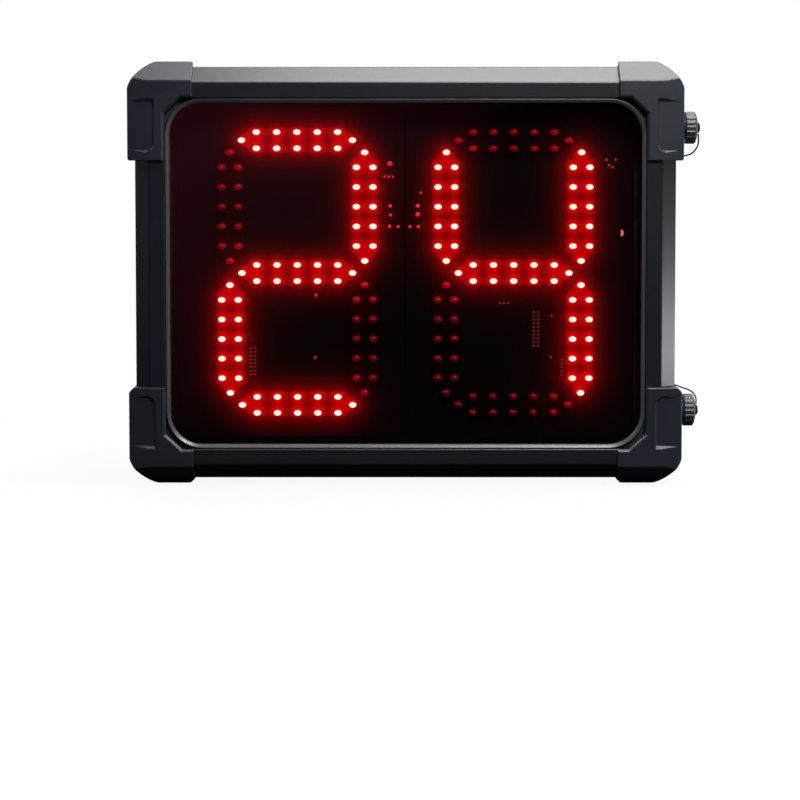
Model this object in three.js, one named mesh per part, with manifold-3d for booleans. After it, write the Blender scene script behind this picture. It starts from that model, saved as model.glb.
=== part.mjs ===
import * as THREE from 'three';
import { mergeVertices } from 'three/addons/utils/BufferGeometryUtils.js';
import Module from 'manifold-3d';

const wasm = await Module();
wasm.setup();

// A two-digit shot clock. All lengths are in millimetres. x runs to the viewer's right, z runs up
// and y runs from the front to the back. The flat rear cover's outer face lies at y = 0, and a
// level is a height above that face, towards the front.

// Case
const CASE_DEPTH = 90;
const PROFILE_WALL = 2;
const PROFILE_LAND = 11;
const PROFILE_BEVEL = 11;
const PROFILE_BEVEL_DEPTH = 13;
const LIP_DEPTH = 3;
const LEDGE_WIDTH = 12;
const LEDGE_THICKNESS = 2;
const COVER_THICKNESS = 2;
const COVER_INSET = 10;
const COVER_CLIP = 18;
const COVER_GASKET = 1.4;
const GASKET_WIDTH = 7;
const GASKET_INSET = 1.5;

// Corner pieces
const CORNER_PROUD = 3.7;
const CORNER_FRONT_PROUD = 2.8;
const CORNER_ARM_ACROSS = 45;
const CORNER_ARM_UP = 68.8;
const CORNER_ROUND = 19;
const CORNER_ROUND_POWER = 1.45;
const CORNER_WALL = 5.4;
const CORNER_BEVEL = 13.4;
const CORNER_BEVEL_DEPTH = 15;
const CORNER_SLOPE = 14;
const CORNER_SLOPE_DEPTH = 2.6;
const CORNER_REAR_CHAMFER = 4;
const CORNER_REAR_INSET = 0.5;
const CORNER_CAVITY_CLIP = 14;
const INNER_CLIP_ACROSS = 11.5;
const INNER_CLIP_UP = 10.4;
const INNER_EDGE_CHAMFER = 1.4;
const TOP_END_CHAMFER = 1;
const BOTTOM_END_CHAMFER = 3.4;
const PROFILE_INSERT = 8;
const POCKET_WIDTH = 18.5;
const POCKET_HEIGHT = 37;
const POCKET_START = 5.6;
const POCKET_DEPTH = 1.6;
const POCKET_DRAFT = 1.4;
const POCKET_ROUND = 7;

// Window
const WINDOW_MARGIN_SIDE = 40.8;
const WINDOW_MARGIN_END = 26;
const WINDOW_ROUND = 22.5;
const BEZEL_WIDTH = 2.7;
const BEZEL_SINK = 0.5;
const BEZEL_SOFT_EDGE = 1.3;
const BEZEL_FLANGE = 4.5;
const BEZEL_FLANGE_THICKNESS = 1.8;
const TAPE_THICKNESS = 0.8;
const TAPE_WIDTH = 5;
const LENS_THICKNESS = 3;
const LENS_LAP = 5;

// Digits
const LED_PAIRS = 5;
const LED_PITCH_ACROSS = 14.2;
const LED_PITCH_UP = 13.8;
const LED_ROW_GAP = 11.3;
const LED_COLUMN_GAP = 11.6;
const LED_END_STEP = 10.4;
const LED_CORNER_STEP = 8.5;
const LED_WIDTH = 5.6;
const LED_HEIGHT = 4.2;
const LED_LENGTH = 8;
const LED_DOME = 2.4;
const LED_TIP_SHARE = 0.55;
const LED_CLEARANCE = 5;
const HOLDER_THICKNESS = 1;
const HOLDER_MARGIN = 1;
const DIGIT_GAP = 57.2;

// Boards
const BOARD_THICKNESS = 1.6;
const BOARD_INSET = 3;
const BOARD_SEAM = 1;
const PILLAR_HEIGHT = 8;
const PILLAR_RADIUS = 3;
const TRAY_THICKNESS = 1.5;
const TRAY_SLOT_WIDTH = 32;
const TRAY_SLOT_HEIGHT = 12;
const TRAY_CLIP = 30;
const RECEIVER_RADIUS = 2.6;
const RECEIVER_LENGTH = 6;
const RECEIVER_HEIGHT = 28;
const RECEIVER_FROM_EDGE = 13.2;

// Pillar places on each digit board, as shares of its half width and half height from its middle
const LEFT_PILLAR_SHARES = [
  [-0.4, 0.95], [-0.4, -0.95], [0.9, 0.95], [0.9, -0.95], [0.23, -0.13], [0.23, -0.52],
];
const RIGHT_PILLAR_SHARES = [
  [0.14, 0.95], [0.14, -0.95], [-0.9, 0.95], [-0.9, -0.95], [0.9, 0.4], [0.9, -0.4],
];

// Electronics behind the tray
const CONTROL_WIDTH = 110;
const CONTROL_HEIGHT = 78;
const CONTROL_LEFT = 6;
const CONTROL_TOP = -3;
const CONTROL_PILLAR = 6;
const CONTROL_PILLAR_INSET = 5;
const HEADER_WIDTH = 27;
const HEADER_HEIGHT = 8;
const HEADER_DEPTH = 8;
const TERMINAL_WIDTH = 10;
const TERMINAL_HEIGHT = 20;
const TERMINAL_DEPTH = 10;
const CHIP_SIZE = 12;
const CHIP_THICKNESS = 2.4;
const CHIP_SHARES = [[0.3, 0.55], [0.55, 0.3], [0.62, 0.7]];
const SUPPLY_WIDTH = 110;
const SUPPLY_HEIGHT = 78;
const SUPPLY_DEPTH = 36;
const SUPPLY_LEFT = -130;
const SUPPLY_BOTTOM = 10;
const SUPPLY_WALL = 1.2;
const SUPPLY_SLOTS = 7;
const SUPPLY_SLOT_SHARE = 0.3;
const TRANSFORMER_SHARES = [0.35, 0.6];
const BUZZER_RADIUS = 15;
const BUZZER_HEIGHT = 12;
const BUZZER_HOLE = 2;
const BUZZER_HOLE_DEPTH = 3;
const BUZZER_X = -90;
const BUZZER_Z = -50;
const HEADER_X = 22;
const HEADER_DROP = 3;
const RIBBON_WIDTH = 25;
const RIBBON_THICKNESS = 1.2;
const RIBBON_LOOP = 4;
const RIBBON_RISE = 8;

// Cover screws, countersunk
const SCREW_HEAD_RADIUS = 3;
const SCREW_RADIUS = 1.5;
const SCREW_LENGTH = 9;
const COVER_SCREW_ACROSS = 120;

// Sockets
const SOCKET_LEVEL = 28;
const SOCKET_FROM_MIDDLE = 102;
const SOCKET_GASKET = 1;
const SOCKET_GASKET_RADIUS = 10.5;
const SOCKET_FLANGE = 3;
const SOCKET_FLANGE_RADIUS = 11;
const BARREL_RADIUS = 8.5;
const BARREL_BORE = 6.8;
const BARREL_OUTSIDE = 10.1;
const BARREL_INSIDE = 17;
const INSERT_RECESS = 7.5;
const INSERT_TAIL = 2;
const CONTACT_CIRCLE = 3.6;
const CONTACT_RADIUS = 0.9;
const CONTACT_DEPTH = 4;
const CONTACTS = 3;
const NUT_RADIUS = 12;
const NUT_SIDES = 6;
const NUT_THICKNESS = 4;

// Dust caps
const CAP_RADIUS = 11.6;
const CAP_RIB_DEPTH = 0.7;
const CAP_RIBS = 18;
const CAP_END_CHAMFER = 1.6;
const CAP_END_WALL = 1.7;
const CAP_LAP = 6;
const SEAL_THICKNESS = 1;
const RIVET_RADIUS = 2;
const RIVET_HEAD_RADIUS = 3;
const RIVET_HEAD = 0.7;
const RING_RADIUS = 4;
const RING_THICKNESS = 0.8;
const TETHER_RADIUS = 0.6;
const TETHER_SCREW_LEVEL = 14;
const TETHER_SCREW_DROP = 17.5;
const TETHER_SCREW_HEAD = 2.8;
const TETHER_SCREW_HEAD_THICKNESS = 2.2;
const TETHER_SCREW_DEPTH = 2.6;
const EYELET_RADIUS = 4.6;
const EYELET_THICKNESS = 0.8;

// Leads, as [x, level, z] points inside the case
const MAINS_LEAD_RADIUS = 3;
const SIGNAL_LEAD_RADIUS = 2.2;
const MAINS_LEAD = [
  [173.4, 28, 102], [165, 28, 102], [148, 30, 100], [110, 34, 92], [60, 37, 78], [20, 37, 68], [0, 37, 65.4],
  [-10, 37, 65], [-19.6, 37, 65],
];
const SIGNAL_LEAD = [
  [173.4, 28, -102], [165, 28, -102], [152, 31, -97], [144, 37, -82], [140, 41, -62], [133, 42.3, -47],
  [125, 42.3, -42.4], [116.5, 42.3, -42],
];

// Tethers, as [x, level, z] points from a socket's axis and the case's side
const UPPER_TETHER = [
  [18.2, 0, -4.3], [18.5, 0, -8.5], [18, 0, -12.6], [16.2, -0.3, -16], [13, -1, -18.8], [9.5, -2.5, -20],
  [6, -5, -20], [2.6, -7.8, -19], [0.9, -10.1, -17.8],
];
const LOWER_TETHER = [
  [18.2, 0, 4.3], [18.5, -2, 8.5], [18, -4.6, 12], [15, -6.4, 12.6], [12.5, -7, 13.6], [10, -7.4, 15],
  [7.7, -7.8, 15.8], [4.2, -8.4, 17], [0.9, -10.1, 17.5],
];

// Clearances, overrun and fineness
const SEAT = 0.2;
const FIT = 0.3;
const HOLE_CLEARANCE = 0.4;
const OVERRUN = 5;
const WELD = 0.0001;
const ROUND_STEPS = 8;
const ROUND_SIDES = 20;
const SCREW_SIDES = 12;
const PILLAR_SIDES = 8;
const LED_SIDES = 6;
const LEAD_SIDES = 8;
const LEAD_STEPS = 16;
const TETHER_STEPS = 14;
const MITRE_SHARE = 0.414;
const BEND_SHARE = 0.4;
const CLIP_SHARE = 2 - Math.SQRT2;
const RIB_SHARES = [[-0.26, 1], [0.26, 1], [0.4, 0], [0.6, 0]];

// Digit layout
const LEVEL_RUN = (LED_PAIRS - 1) / 2 * LED_PITCH_ACROSS;
const UPRIGHT_RUN = (LED_PAIRS - 1) / 2 * LED_PITCH_UP;
const DIGIT_HALF_WIDTH = LEVEL_RUN + LED_END_STEP + LED_CORNER_STEP;
const DIGIT_HALF_HEIGHT = 2 * (UPRIGHT_RUN + LED_END_STEP + LED_CORNER_STEP);
const DIGIT_OFFSET = DIGIT_HALF_WIDTH + DIGIT_GAP / 2;

// Half widths and half heights, from the window outwards
const WINDOW_X = DIGIT_OFFSET + DIGIT_HALF_WIDTH + WINDOW_MARGIN_SIDE;
const WINDOW_Z = DIGIT_HALF_HEIGHT + WINDOW_MARGIN_END;
const BEZEL_X = WINDOW_X + BEZEL_WIDTH;
const BEZEL_Z = WINDOW_Z + BEZEL_WIDTH;
const OPENING_X = BEZEL_X + FIT;
const OPENING_Z = BEZEL_Z + FIT;
const FRAME_WIDTH = PROFILE_LAND + PROFILE_BEVEL;
const FRAME_X = OPENING_X + FRAME_WIDTH;
const FRAME_Z = OPENING_Z + FRAME_WIDTH;
const CORNER_X = FRAME_X + CORNER_PROUD;
const CORNER_Z = FRAME_Z + CORNER_PROUD;
const COVER_X = FRAME_X - COVER_INSET;
const COVER_Z = FRAME_Z - COVER_INSET;
const LENS_X = WINDOW_X + BEZEL_WIDTH + LENS_LAP;
const LENS_Z = WINDOW_Z + BEZEL_WIDTH + LENS_LAP;
const CORNER_ARM_START = CORNER_X - CORNER_ARM_ACROSS;
const CORNER_ARM_FOOT = CORNER_Z - CORNER_ARM_UP;
const PROFILE_END_X = CORNER_ARM_START + PROFILE_INSERT;
const PROFILE_END_Z = CORNER_ARM_FOOT + PROFILE_INSERT;

// Levels, from the front backwards
const CORNER_FRONT = CASE_DEPTH + CORNER_FRONT_PROUD;
const BEZEL_FRONT = CASE_DEPTH - BEZEL_SINK;
const LIP_LEVEL = CASE_DEPTH - LIP_DEPTH;
const BEZEL_FLANGE_FRONT = LIP_LEVEL - SEAT;
const BEZEL_BACK = BEZEL_FLANGE_FRONT - BEZEL_FLANGE_THICKNESS;
const TAPE_FRONT = BEZEL_BACK - SEAT;
const TAPE_BACK = TAPE_FRONT - TAPE_THICKNESS;
const LENS_FRONT = TAPE_BACK - SEAT;
const LENS_BACK = LENS_FRONT - LENS_THICKNESS;
const LED_TIP = LENS_BACK - LED_CLEARANCE;
const HOLDER_FRONT = LED_TIP - LED_LENGTH;
const HOLDER_BACK = HOLDER_FRONT - HOLDER_THICKNESS;
const BOARD_FRONT = HOLDER_BACK - SEAT;
const BOARD_BACK = BOARD_FRONT - BOARD_THICKNESS;
const TRAY_FRONT = BOARD_BACK - SEAT - PILLAR_HEIGHT;
const TRAY_BACK = TRAY_FRONT - TRAY_THICKNESS;
const LEDGE_BACK = TRAY_FRONT + SEAT;
const LEDGE_FRONT = LEDGE_BACK + LEDGE_THICKNESS;
const CONTROL_FRONT = TRAY_BACK - CONTROL_PILLAR - SEAT;
const CONTROL_BACK = CONTROL_FRONT - BOARD_THICKNESS;
const COVER_GASKET_BACK = COVER_THICKNESS + SEAT;
const COVER_GASKET_FRONT = COVER_GASKET_BACK + COVER_GASKET;
const FRAME_BACK = COVER_GASKET_FRONT + SEAT;

// Distances outwards from the case's side, along a socket's axis
const BARREL_END = SOCKET_GASKET + SEAT * 2 + SOCKET_FLANGE + BARREL_OUTSIDE;
const CAP_RIM = BARREL_END - CAP_LAP;
const CAP_INNER_END = BARREL_END + SEAT * 2 + SEAL_THICKNESS;
const CAP_END = CAP_INNER_END + CAP_END_WALL;
const RING_BACK = CAP_END + SEAT;
const RING_FRONT = RING_BACK + RING_THICKNESS;
const RIVET_HEAD_BACK = RING_FRONT + SEAT;
const RIVET_END = RIVET_HEAD_BACK + RIVET_HEAD;

// Finishes
const finish = (color, roughness, metalness) => () =>
  new THREE.MeshStandardMaterial({ color, roughness, metalness });
const satinFrame = finish(0x1e2228, 0.45, 0.3);
const mouldedCorner = finish(0x24272d, 0.5, 0);
const bezelBlack = finish(0x3a3a3d, 0.4, 0);
const smokedAcrylic = finish(0x1a0508, 0.05, 0);
const blackRubber = finish(0x121212, 0.85, 0);
const boardMask = finish(0x0c0a0b, 0.6, 0);
const boardGreen = finish(0x17402a, 0.6, 0);
const redEpoxy = finish(0xd01020, 0.25, 0);
const steelSheet = finish(0x9a9ea2, 0.4, 0.8);
const blackPaint = finish(0x181a1d, 0.5, 0.2);
const zincScrew = finish(0x8e9194, 0.35, 0.9);
const nylonBlack = finish(0x222224, 0.5, 0);
const leadSheath = finish(0x151515, 0.6, 0);
const ribbonGrey = finish(0x8a8a88, 0.6, 0);

// Closes a geometry into a solid whose faces point outwards
function solid(geometry) {
  const bare = geometry.clone();
  bare.deleteAttribute('normal');
  bare.deleteAttribute('uv');
  const merged = mergeVertices(bare, WELD);
  const points = merged.attributes.position;
  const [a, b, c] = [0, 1, 2].map(() => new THREE.Vector3());
  const corners = [];
  let volume = 0;
  for (let i = 0; i < merged.index.count; i += 3) {
    const [p, q, r] = [0, 1, 2].map((k) => merged.index.getX(i + k));
    if (p === q || q === r || r === p) continue;
    corners.push([p, q, r]);
    b.fromBufferAttribute(points, q).cross(c.fromBufferAttribute(points, r));
    volume += a.fromBufferAttribute(points, p).dot(b);
  }
  if (volume < 0) corners.forEach((corner) => corner.reverse());
  return new wasm.Manifold(new wasm.Mesh({
    numProp: 3,
    vertProperties: new Float32Array(points.array),
    triVerts: new Uint32Array(corners.flat()),
  }));
}

// Moves every point of a geometry to place(x, y, z), then closes it
function placed(geometry, place) {
  const position = geometry.attributes.position;
  for (let i = 0; i < position.count; i += 1) {
    position.setXYZ(i, ...place(position.getX(i), position.getY(i), position.getZ(i)));
  }
  return solid(geometry);
}

function surface(body) {
  const { vertProperties, triVerts } = body.getMesh();
  const geometry = new THREE.BufferGeometry();
  geometry.setAttribute('position', new THREE.BufferAttribute(vertProperties, 3));
  geometry.setIndex(new THREE.BufferAttribute(triVerts, 1));
  return geometry;
}

// The same body on the other side: -1 mirrors it in x or in z
function mirrored(body, signX, signZ) {
  return placed(surface(body), (x, y, z) => [signX * x, y, signZ * z]);
}

function joined(bodies) {
  return wasm.Manifold.union(bodies);
}

function add(parent, name, body, material) {
  const geometry = surface(body);
  geometry.computeVertexNormals();
  const mesh = new THREE.Mesh(geometry, material());
  mesh.name = name;
  parent.add(mesh);
  return mesh;
}

// Ways to carry an outline [p, q] along t: front to back, from side to side, upwards, along a socket
const facing = (p, q, t) => [p, -t, q];
const across = (p, q, t) => [t, -q, p];
const upright = (p, q, t) => [p, -q, t];
const axial = (p, q, t) => [t, p, q];

// Carries an outline along t from one place to another, with its holes left open
function prism(outline, from, to, place, holes = []) {
  const path = (points) => points.map(([p, q]) => new THREE.Vector2(p, q));
  const shape = new THREE.Shape(path(outline));
  holes.forEach((hole) => shape.holes.push(new THREE.Path(path(hole))));
  const geometry = new THREE.ExtrudeGeometry(shape, { depth: to - from, bevelEnabled: false });
  return placed(geometry, (p, q, t) => place(p, q, t + from));
}

// Ways to place what is turned: about an axis from side to side, or from back to front
const alongX = (y, z) => (a, t, b) => [t, y + a, z + b];
const alongY = (x, z) => (a, t, b) => [x + a, -t, z + b];

// Turns a profile of [radius, place along the axis] points
function turned(profile, place, sides = ROUND_SIDES) {
  const points = profile.map(([radius, along]) => new THREE.Vector2(radius, along));
  return placed(new THREE.LatheGeometry(points, sides), place);
}

function bar(radius, from, to, place, sides = ROUND_SIDES) {
  return turned([[0, from], [radius, from], [radius, to], [0, to]], place, sides);
}

function ring(inner, outer, from, to, place) {
  return turned([[inner, from], [outer, from], [outer, to], [inner, to], [inner, from]], place);
}

// A box between two values of x, of level and of z
function box([x0, x1], [level0, level1], [z0, z1]) {
  return prism([[x0, z0], [x1, z0], [x1, z1], [x0, z1]], level0, level1, facing);
}

// A quarter turn of points, from 0 to 1 in each direction
function quarter(power, place) {
  return Array.from({ length: ROUND_STEPS + 1 }, (_, i) => {
    const turn = i / ROUND_STEPS * Math.PI / 2;
    return place(Math.sin(turn) ** (2 / power), Math.cos(turn) ** (2 / power));
  });
}

// A rectangle with round corners, counter-clockwise
function roundedRectangle(halfWidth, halfHeight, radius) {
  return [[1, 1], [-1, 1], [-1, -1], [1, -1]].flatMap(([sx, sz]) => {
    const corner = quarter(2, (rise, run) => [
      sx * (halfWidth - radius + radius * run), sz * (halfHeight - radius + radius * rise),
    ]);
    return sx * sz > 0 ? corner : corner.reverse();
  });
}

// A rectangle with its corners clipped off straight, counter-clockwise
function clippedRectangle(halfWidth, halfHeight, clip) {
  return [[1, 1], [-1, 1], [-1, -1], [1, -1]].flatMap(([sx, sz]) => {
    const side = [sx * halfWidth, sz * (halfHeight - clip)];
    const level = [sx * (halfWidth - clip), sz * halfHeight];
    return sx * sz > 0 ? [side, level] : [level, side];
  });
}

// Carries a closed profile of [outset, level] points round a rectangle with round corners
function roundedRing(halfWidth, halfHeight, radius, profile) {
  const loops = profile.map(([outset, level]) => roundedRectangle(
    halfWidth + outset,
    halfHeight + outset,
    radius + outset,
  ).map(([x, z]) => [x, -level, z]));
  const count = loops[0].length;
  const positions = [];
  loops.forEach((loop, i) => {
    const next = loops[(i + 1) % loops.length];
    for (let j = 0; j < count; j += 1) {
      const k = (j + 1) % count;
      positions.push(...loop[j], ...next[j], ...next[k], ...loop[j], ...next[k], ...loop[k]);
    }
  });
  const geometry = new THREE.BufferGeometry();
  geometry.setAttribute('position', new THREE.Float32BufferAttribute(positions, 3));
  return solid(geometry);
}

// A round lead along a smooth curve through [x, level, z] points
function lead(points, radius, steps) {
  const curve = new THREE.CatmullRomCurve3(points.map(([x, level, z]) => new THREE.Vector3(x, -level, z)));
  const section = new THREE.Shape(Array.from({ length: LEAD_SIDES }, (_, i) => {
    const turn = i / LEAD_SIDES * Math.PI * 2;
    return new THREE.Vector2(radius * Math.cos(turn), radius * Math.sin(turn));
  }));
  return solid(new THREE.ExtrudeGeometry(section, { extrudePath: curve, steps, bevelEnabled: false }));
}

// Places of the cover screws in x and z
const COVER_SCREW_Z = COVER_Z - GASKET_INSET - GASKET_WIDTH / 2;
const COVER_SCREWS = [[-1, 1], [1, 1], [-1, -1], [1, -1]].map(([sx, sz]) => [
  sx * COVER_SCREW_ACROSS,
  sz * COVER_SCREW_Z,
]);

// A countersunk screw, or the hole that it needs, grown by a clearance
function coverScrew([x, z], clearance, from, to) {
  const head = SCREW_HEAD_RADIUS + clearance;
  const shank = SCREW_RADIUS + clearance;
  const foot = SEAT + SCREW_HEAD_RADIUS - SCREW_RADIUS;
  const profile = [[0, from], [head, from], [head, SEAT], [shank, foot], [shank, to], [0, to]];
  return turned(profile, alongY(x, z), SCREW_SIDES);
}

function screwHoles() {
  const to = SCREW_LENGTH + OVERRUN;
  return joined(COVER_SCREWS.map((place) => coverScrew(place, HOLE_CLEARANCE, -OVERRUN, to)));
}

// Section of a profile, from the opening's edge outwards, and level
function profileSection(opening) {
  const outer = opening + FRAME_WIDTH;
  const inner = outer - PROFILE_WALL;
  const bevelFoot = CASE_DEPTH - PROFILE_BEVEL_DEPTH;
  const bend = PROFILE_WALL * BEND_SHARE;
  return [
    [opening, LIP_LEVEL], [opening, CASE_DEPTH], [opening + PROFILE_LAND, CASE_DEPTH],
    [outer, bevelFoot], [outer, FRAME_BACK], [opening, FRAME_BACK],
    [opening, FRAME_BACK + PROFILE_WALL], [inner, FRAME_BACK + PROFILE_WALL],
    [inner, LEDGE_BACK], [inner - LEDGE_WIDTH, LEDGE_BACK],
    [inner - LEDGE_WIDTH, LEDGE_FRONT], [inner, LEDGE_FRONT],
    [inner, bevelFoot - bend], [opening + PROFILE_LAND - bend, CASE_DEPTH - PROFILE_WALL],
    [opening + PROFILE_WALL, CASE_DEPTH - PROFILE_WALL], [opening + PROFILE_WALL, LIP_LEVEL],
  ];
}

function addProfiles() {
  const level = prism(profileSection(OPENING_Z), -PROFILE_END_X, PROFILE_END_X, across);
  const post = prism(profileSection(OPENING_X), -PROFILE_END_Z, PROFILE_END_Z, upright);
  const holes = screwHoles();
  add(clock, 'top_profile', level.subtract(holes), satinFrame);
  add(clock, 'bottom_profile', mirrored(level, 1, -1).subtract(holes), satinFrame);
  add(clock, 'left_profile', mirrored(post, -1, 1), satinFrame);
  add(clock, 'right_profile', post, satinFrame);
}

// Front outline of the upper right corner piece
function cornerOutline(endChamfer) {
  const outer = quarter(CORNER_ROUND_POWER, (rise, run) => [
    CORNER_X - CORNER_ROUND * (1 - rise),
    CORNER_Z - CORNER_ROUND * (1 - run),
  ]);
  return [
    [CORNER_ARM_START, OPENING_Z], [CORNER_ARM_START, CORNER_Z - endChamfer],
    [CORNER_ARM_START + endChamfer, CORNER_Z], ...outer,
    [CORNER_X, CORNER_ARM_FOOT + endChamfer], [CORNER_X - endChamfer, CORNER_ARM_FOOT],
    [OPENING_X, CORNER_ARM_FOOT], [OPENING_X, OPENING_Z - INNER_CLIP_UP],
    [OPENING_X - INNER_CLIP_ACROSS, OPENING_Z],
  ];
}

// Cuts a chamfer along one stretch of the inner front edge, with the piece to the right of it
function innerEdge([x0, z0], [x1, z1]) {
  const length = Math.hypot(x1 - x0, z1 - z0);
  const [ux, uz] = [(x1 - x0) / length, (z1 - z0) / length];
  const extra = INNER_EDGE_CHAMFER * MITRE_SHARE;
  const wedge = [
    [-OVERRUN, CORNER_FRONT - INNER_EDGE_CHAMFER - OVERRUN],
    [INNER_EDGE_CHAMFER + OVERRUN, CORNER_FRONT + OVERRUN],
    [-OVERRUN, CORNER_FRONT + OVERRUN],
  ];
  const place = (n, level, t) => [x0 + ux * t + uz * n, -level, z0 + uz * t - ux * n];
  return prism(wedge, -extra, length + extra, place);
}

function innerEdges() {
  const clipFoot = [OPENING_X, OPENING_Z - INNER_CLIP_UP];
  const clipHead = [OPENING_X - INNER_CLIP_ACROSS, OPENING_Z];
  return joined([
    innerEdge([OPENING_X, CORNER_ARM_FOOT - OVERRUN], clipFoot),
    innerEdge(clipFoot, clipHead),
    innerEdge(clipHead, [CORNER_ARM_START - OVERRUN, OPENING_Z]),
  ]);
}

// The room that a profile takes inside a corner piece
function profileRoom(opening) {
  const outer = opening + FRAME_WIDTH + FIT;
  return [
    [opening - OVERRUN, FRAME_BACK - FIT], [outer, FRAME_BACK - FIT],
    [outer, CASE_DEPTH - PROFILE_BEVEL_DEPTH + FIT],
    [opening + PROFILE_LAND + FIT, CASE_DEPTH + FIT], [opening - OVERRUN, CASE_DEPTH + FIT],
  ];
}

// What a slope takes off along an edge: how far in it starts, how deep it ends, and which way it faces
function slopeOff(edge, width, level, depth) {
  const rise = depth / width * OVERRUN;
  return [
    [edge - width - OVERRUN, level + rise], [edge + OVERRUN, level - depth - rise],
    [edge + OVERRUN, level + rise],
  ];
}

// The shallow pocket in the face of a corner piece, open to the side
function pocket() {
  const left = CORNER_X - POCKET_WIDTH;
  const low = CORNER_ARM_FOOT + POCKET_START;
  const high = low + POCKET_HEIGHT;
  const floor = CORNER_FRONT - POCKET_DEPTH;
  const slant = POCKET_DRAFT / POCKET_DEPTH * OVERRUN;
  const drafted = prism([
    [low + POCKET_DRAFT, floor], [high - POCKET_DRAFT, floor],
    [high + slant, CORNER_FRONT + OVERRUN], [low - slant, CORNER_FRONT + OVERRUN],
  ], left, CORNER_X + OVERRUN, across);
  const corner = quarter(2, (rise, run) => [
    left + POCKET_ROUND * (1 - run),
    low + POCKET_ROUND * (1 - rise),
  ]);
  const outline = [
    [left, high], ...corner, [CORNER_X + OVERRUN, low], [CORNER_X + OVERRUN, high],
  ];
  return drafted.intersect(prism(outline, floor - OVERRUN, CORNER_FRONT + OVERRUN, facing));
}

// Room inside the corner behind the front wall, with the outer corner clipped
function cavity(right, top, back, front) {
  return prism([
    [PROFILE_END_X, PROFILE_END_Z], [right, PROFILE_END_Z], [right, top - CORNER_CAVITY_CLIP],
    [right - CORNER_CAVITY_CLIP, top], [PROFILE_END_X, top],
  ], back, front, facing);
}

// The upper right corner piece
function cornerPiece(endChamfer) {
  const farX = CORNER_X + OVERRUN;
  const farZ = CORNER_Z + OVERRUN;
  const startX = CORNER_ARM_START - OVERRUN;
  const startZ = CORNER_ARM_FOOT - OVERRUN;
  const bevel = slopeOff(CORNER_Z, CORNER_BEVEL, CORNER_FRONT, CORNER_BEVEL_DEPTH);
  const slope = slopeOff(CORNER_X, CORNER_SLOPE, CORNER_FRONT, CORNER_SLOPE_DEPTH);
  const rear = (edge) => slopeOff(edge, CORNER_REAR_CHAMFER, CORNER_REAR_INSET, -CORNER_REAR_CHAMFER);
  const inside = FRAME_BACK + PROFILE_WALL;
  const right = CORNER_X - CORNER_WALL;
  const top = CORNER_Z - CORNER_WALL;
  const bay = roundedRectangle(LENS_X + HOLE_CLEARANCE, LENS_Z + HOLE_CLEARANCE, LENS_LAP);
  const coverRoom = clippedRectangle(COVER_X + FIT, COVER_Z + FIT, COVER_CLIP);
  const cuts = [
    prism(bevel, startX, farX, across),
    prism(slope, startZ, farZ, upright),
    prism(rear(CORNER_Z), startX, farX, across),
    prism(rear(CORNER_X), startZ, farZ, upright),
    prism(profileRoom(OPENING_Z), startX, PROFILE_END_X + FIT, across),
    prism(profileRoom(OPENING_X), startZ, PROFILE_END_Z + FIT, upright),
    cavity(right, top, inside, CORNER_FRONT - CORNER_BEVEL_DEPTH - CORNER_WALL),
    cavity(right - CORNER_WALL, top - CORNER_BEVEL, inside, LIP_LEVEL + FIT),
    prism(bay, inside, LIP_LEVEL + FIT, facing),
    prism(coverRoom, -OVERRUN, FRAME_BACK, facing),
    pocket(),
    innerEdges(),
  ];
  return prism(cornerOutline(endChamfer), CORNER_REAR_INSET, CORNER_FRONT, facing).subtract(joined(cuts));
}

// The holes for a socket and for its tether's screw, in the upper right corner piece
function socketHoles() {
  const screwZ = SOCKET_FROM_MIDDLE - TETHER_SCREW_DROP;
  return joined([
    bar(BARREL_RADIUS + FIT, CORNER_X - CORNER_WALL - OVERRUN, CORNER_X + OVERRUN,
      alongX(-SOCKET_LEVEL, SOCKET_FROM_MIDDLE)),
    bar(SCREW_RADIUS + FIT, CORNER_X - TETHER_SCREW_DEPTH - SEAT, CORNER_X + OVERRUN,
      alongX(-TETHER_SCREW_LEVEL, screwZ)),
  ]);
}

function addCorners() {
  const upper = cornerPiece(TOP_END_CHAMFER);
  const lower = cornerPiece(BOTTOM_END_CHAMFER);
  const holes = socketHoles();
  add(clock, 'top_left_corner', mirrored(upper, -1, 1), mouldedCorner);
  add(clock, 'top_right_corner', upper.subtract(holes), mouldedCorner);
  add(clock, 'bottom_left_corner', mirrored(lower, -1, -1), mouldedCorner);
  add(clock, 'bottom_right_corner', mirrored(lower.subtract(holes), 1, -1), mouldedCorner);
}

function addWindow() {
  const soft = BEZEL_SOFT_EDGE * BEND_SHARE;
  const flange = BEZEL_WIDTH + BEZEL_FLANGE;
  add(clock, 'lens_bezel', roundedRing(WINDOW_X, WINDOW_Z, WINDOW_ROUND, [
    [0, BEZEL_BACK], [0, BEZEL_FRONT - BEZEL_SOFT_EDGE], [soft, BEZEL_FRONT - soft],
    [BEZEL_SOFT_EDGE, BEZEL_FRONT], [BEZEL_WIDTH, BEZEL_FRONT], [BEZEL_WIDTH, BEZEL_FLANGE_FRONT],
    [flange, BEZEL_FLANGE_FRONT], [flange, BEZEL_BACK],
  ]), bezelBlack);
  add(clock, 'lens_tape', roundedRing(WINDOW_X, WINDOW_Z, WINDOW_ROUND, [
    [FIT, TAPE_BACK], [FIT, TAPE_FRONT], [TAPE_WIDTH, TAPE_FRONT], [TAPE_WIDTH, TAPE_BACK],
  ]), blackRubber);
  const pane = roundedRectangle(LENS_X, LENS_Z, WINDOW_ROUND + LENS_X - WINDOW_X);
  add(clock, 'lens', prism(pane, LENS_BACK, LENS_FRONT, facing), smokedAcrylic);
}

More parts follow.
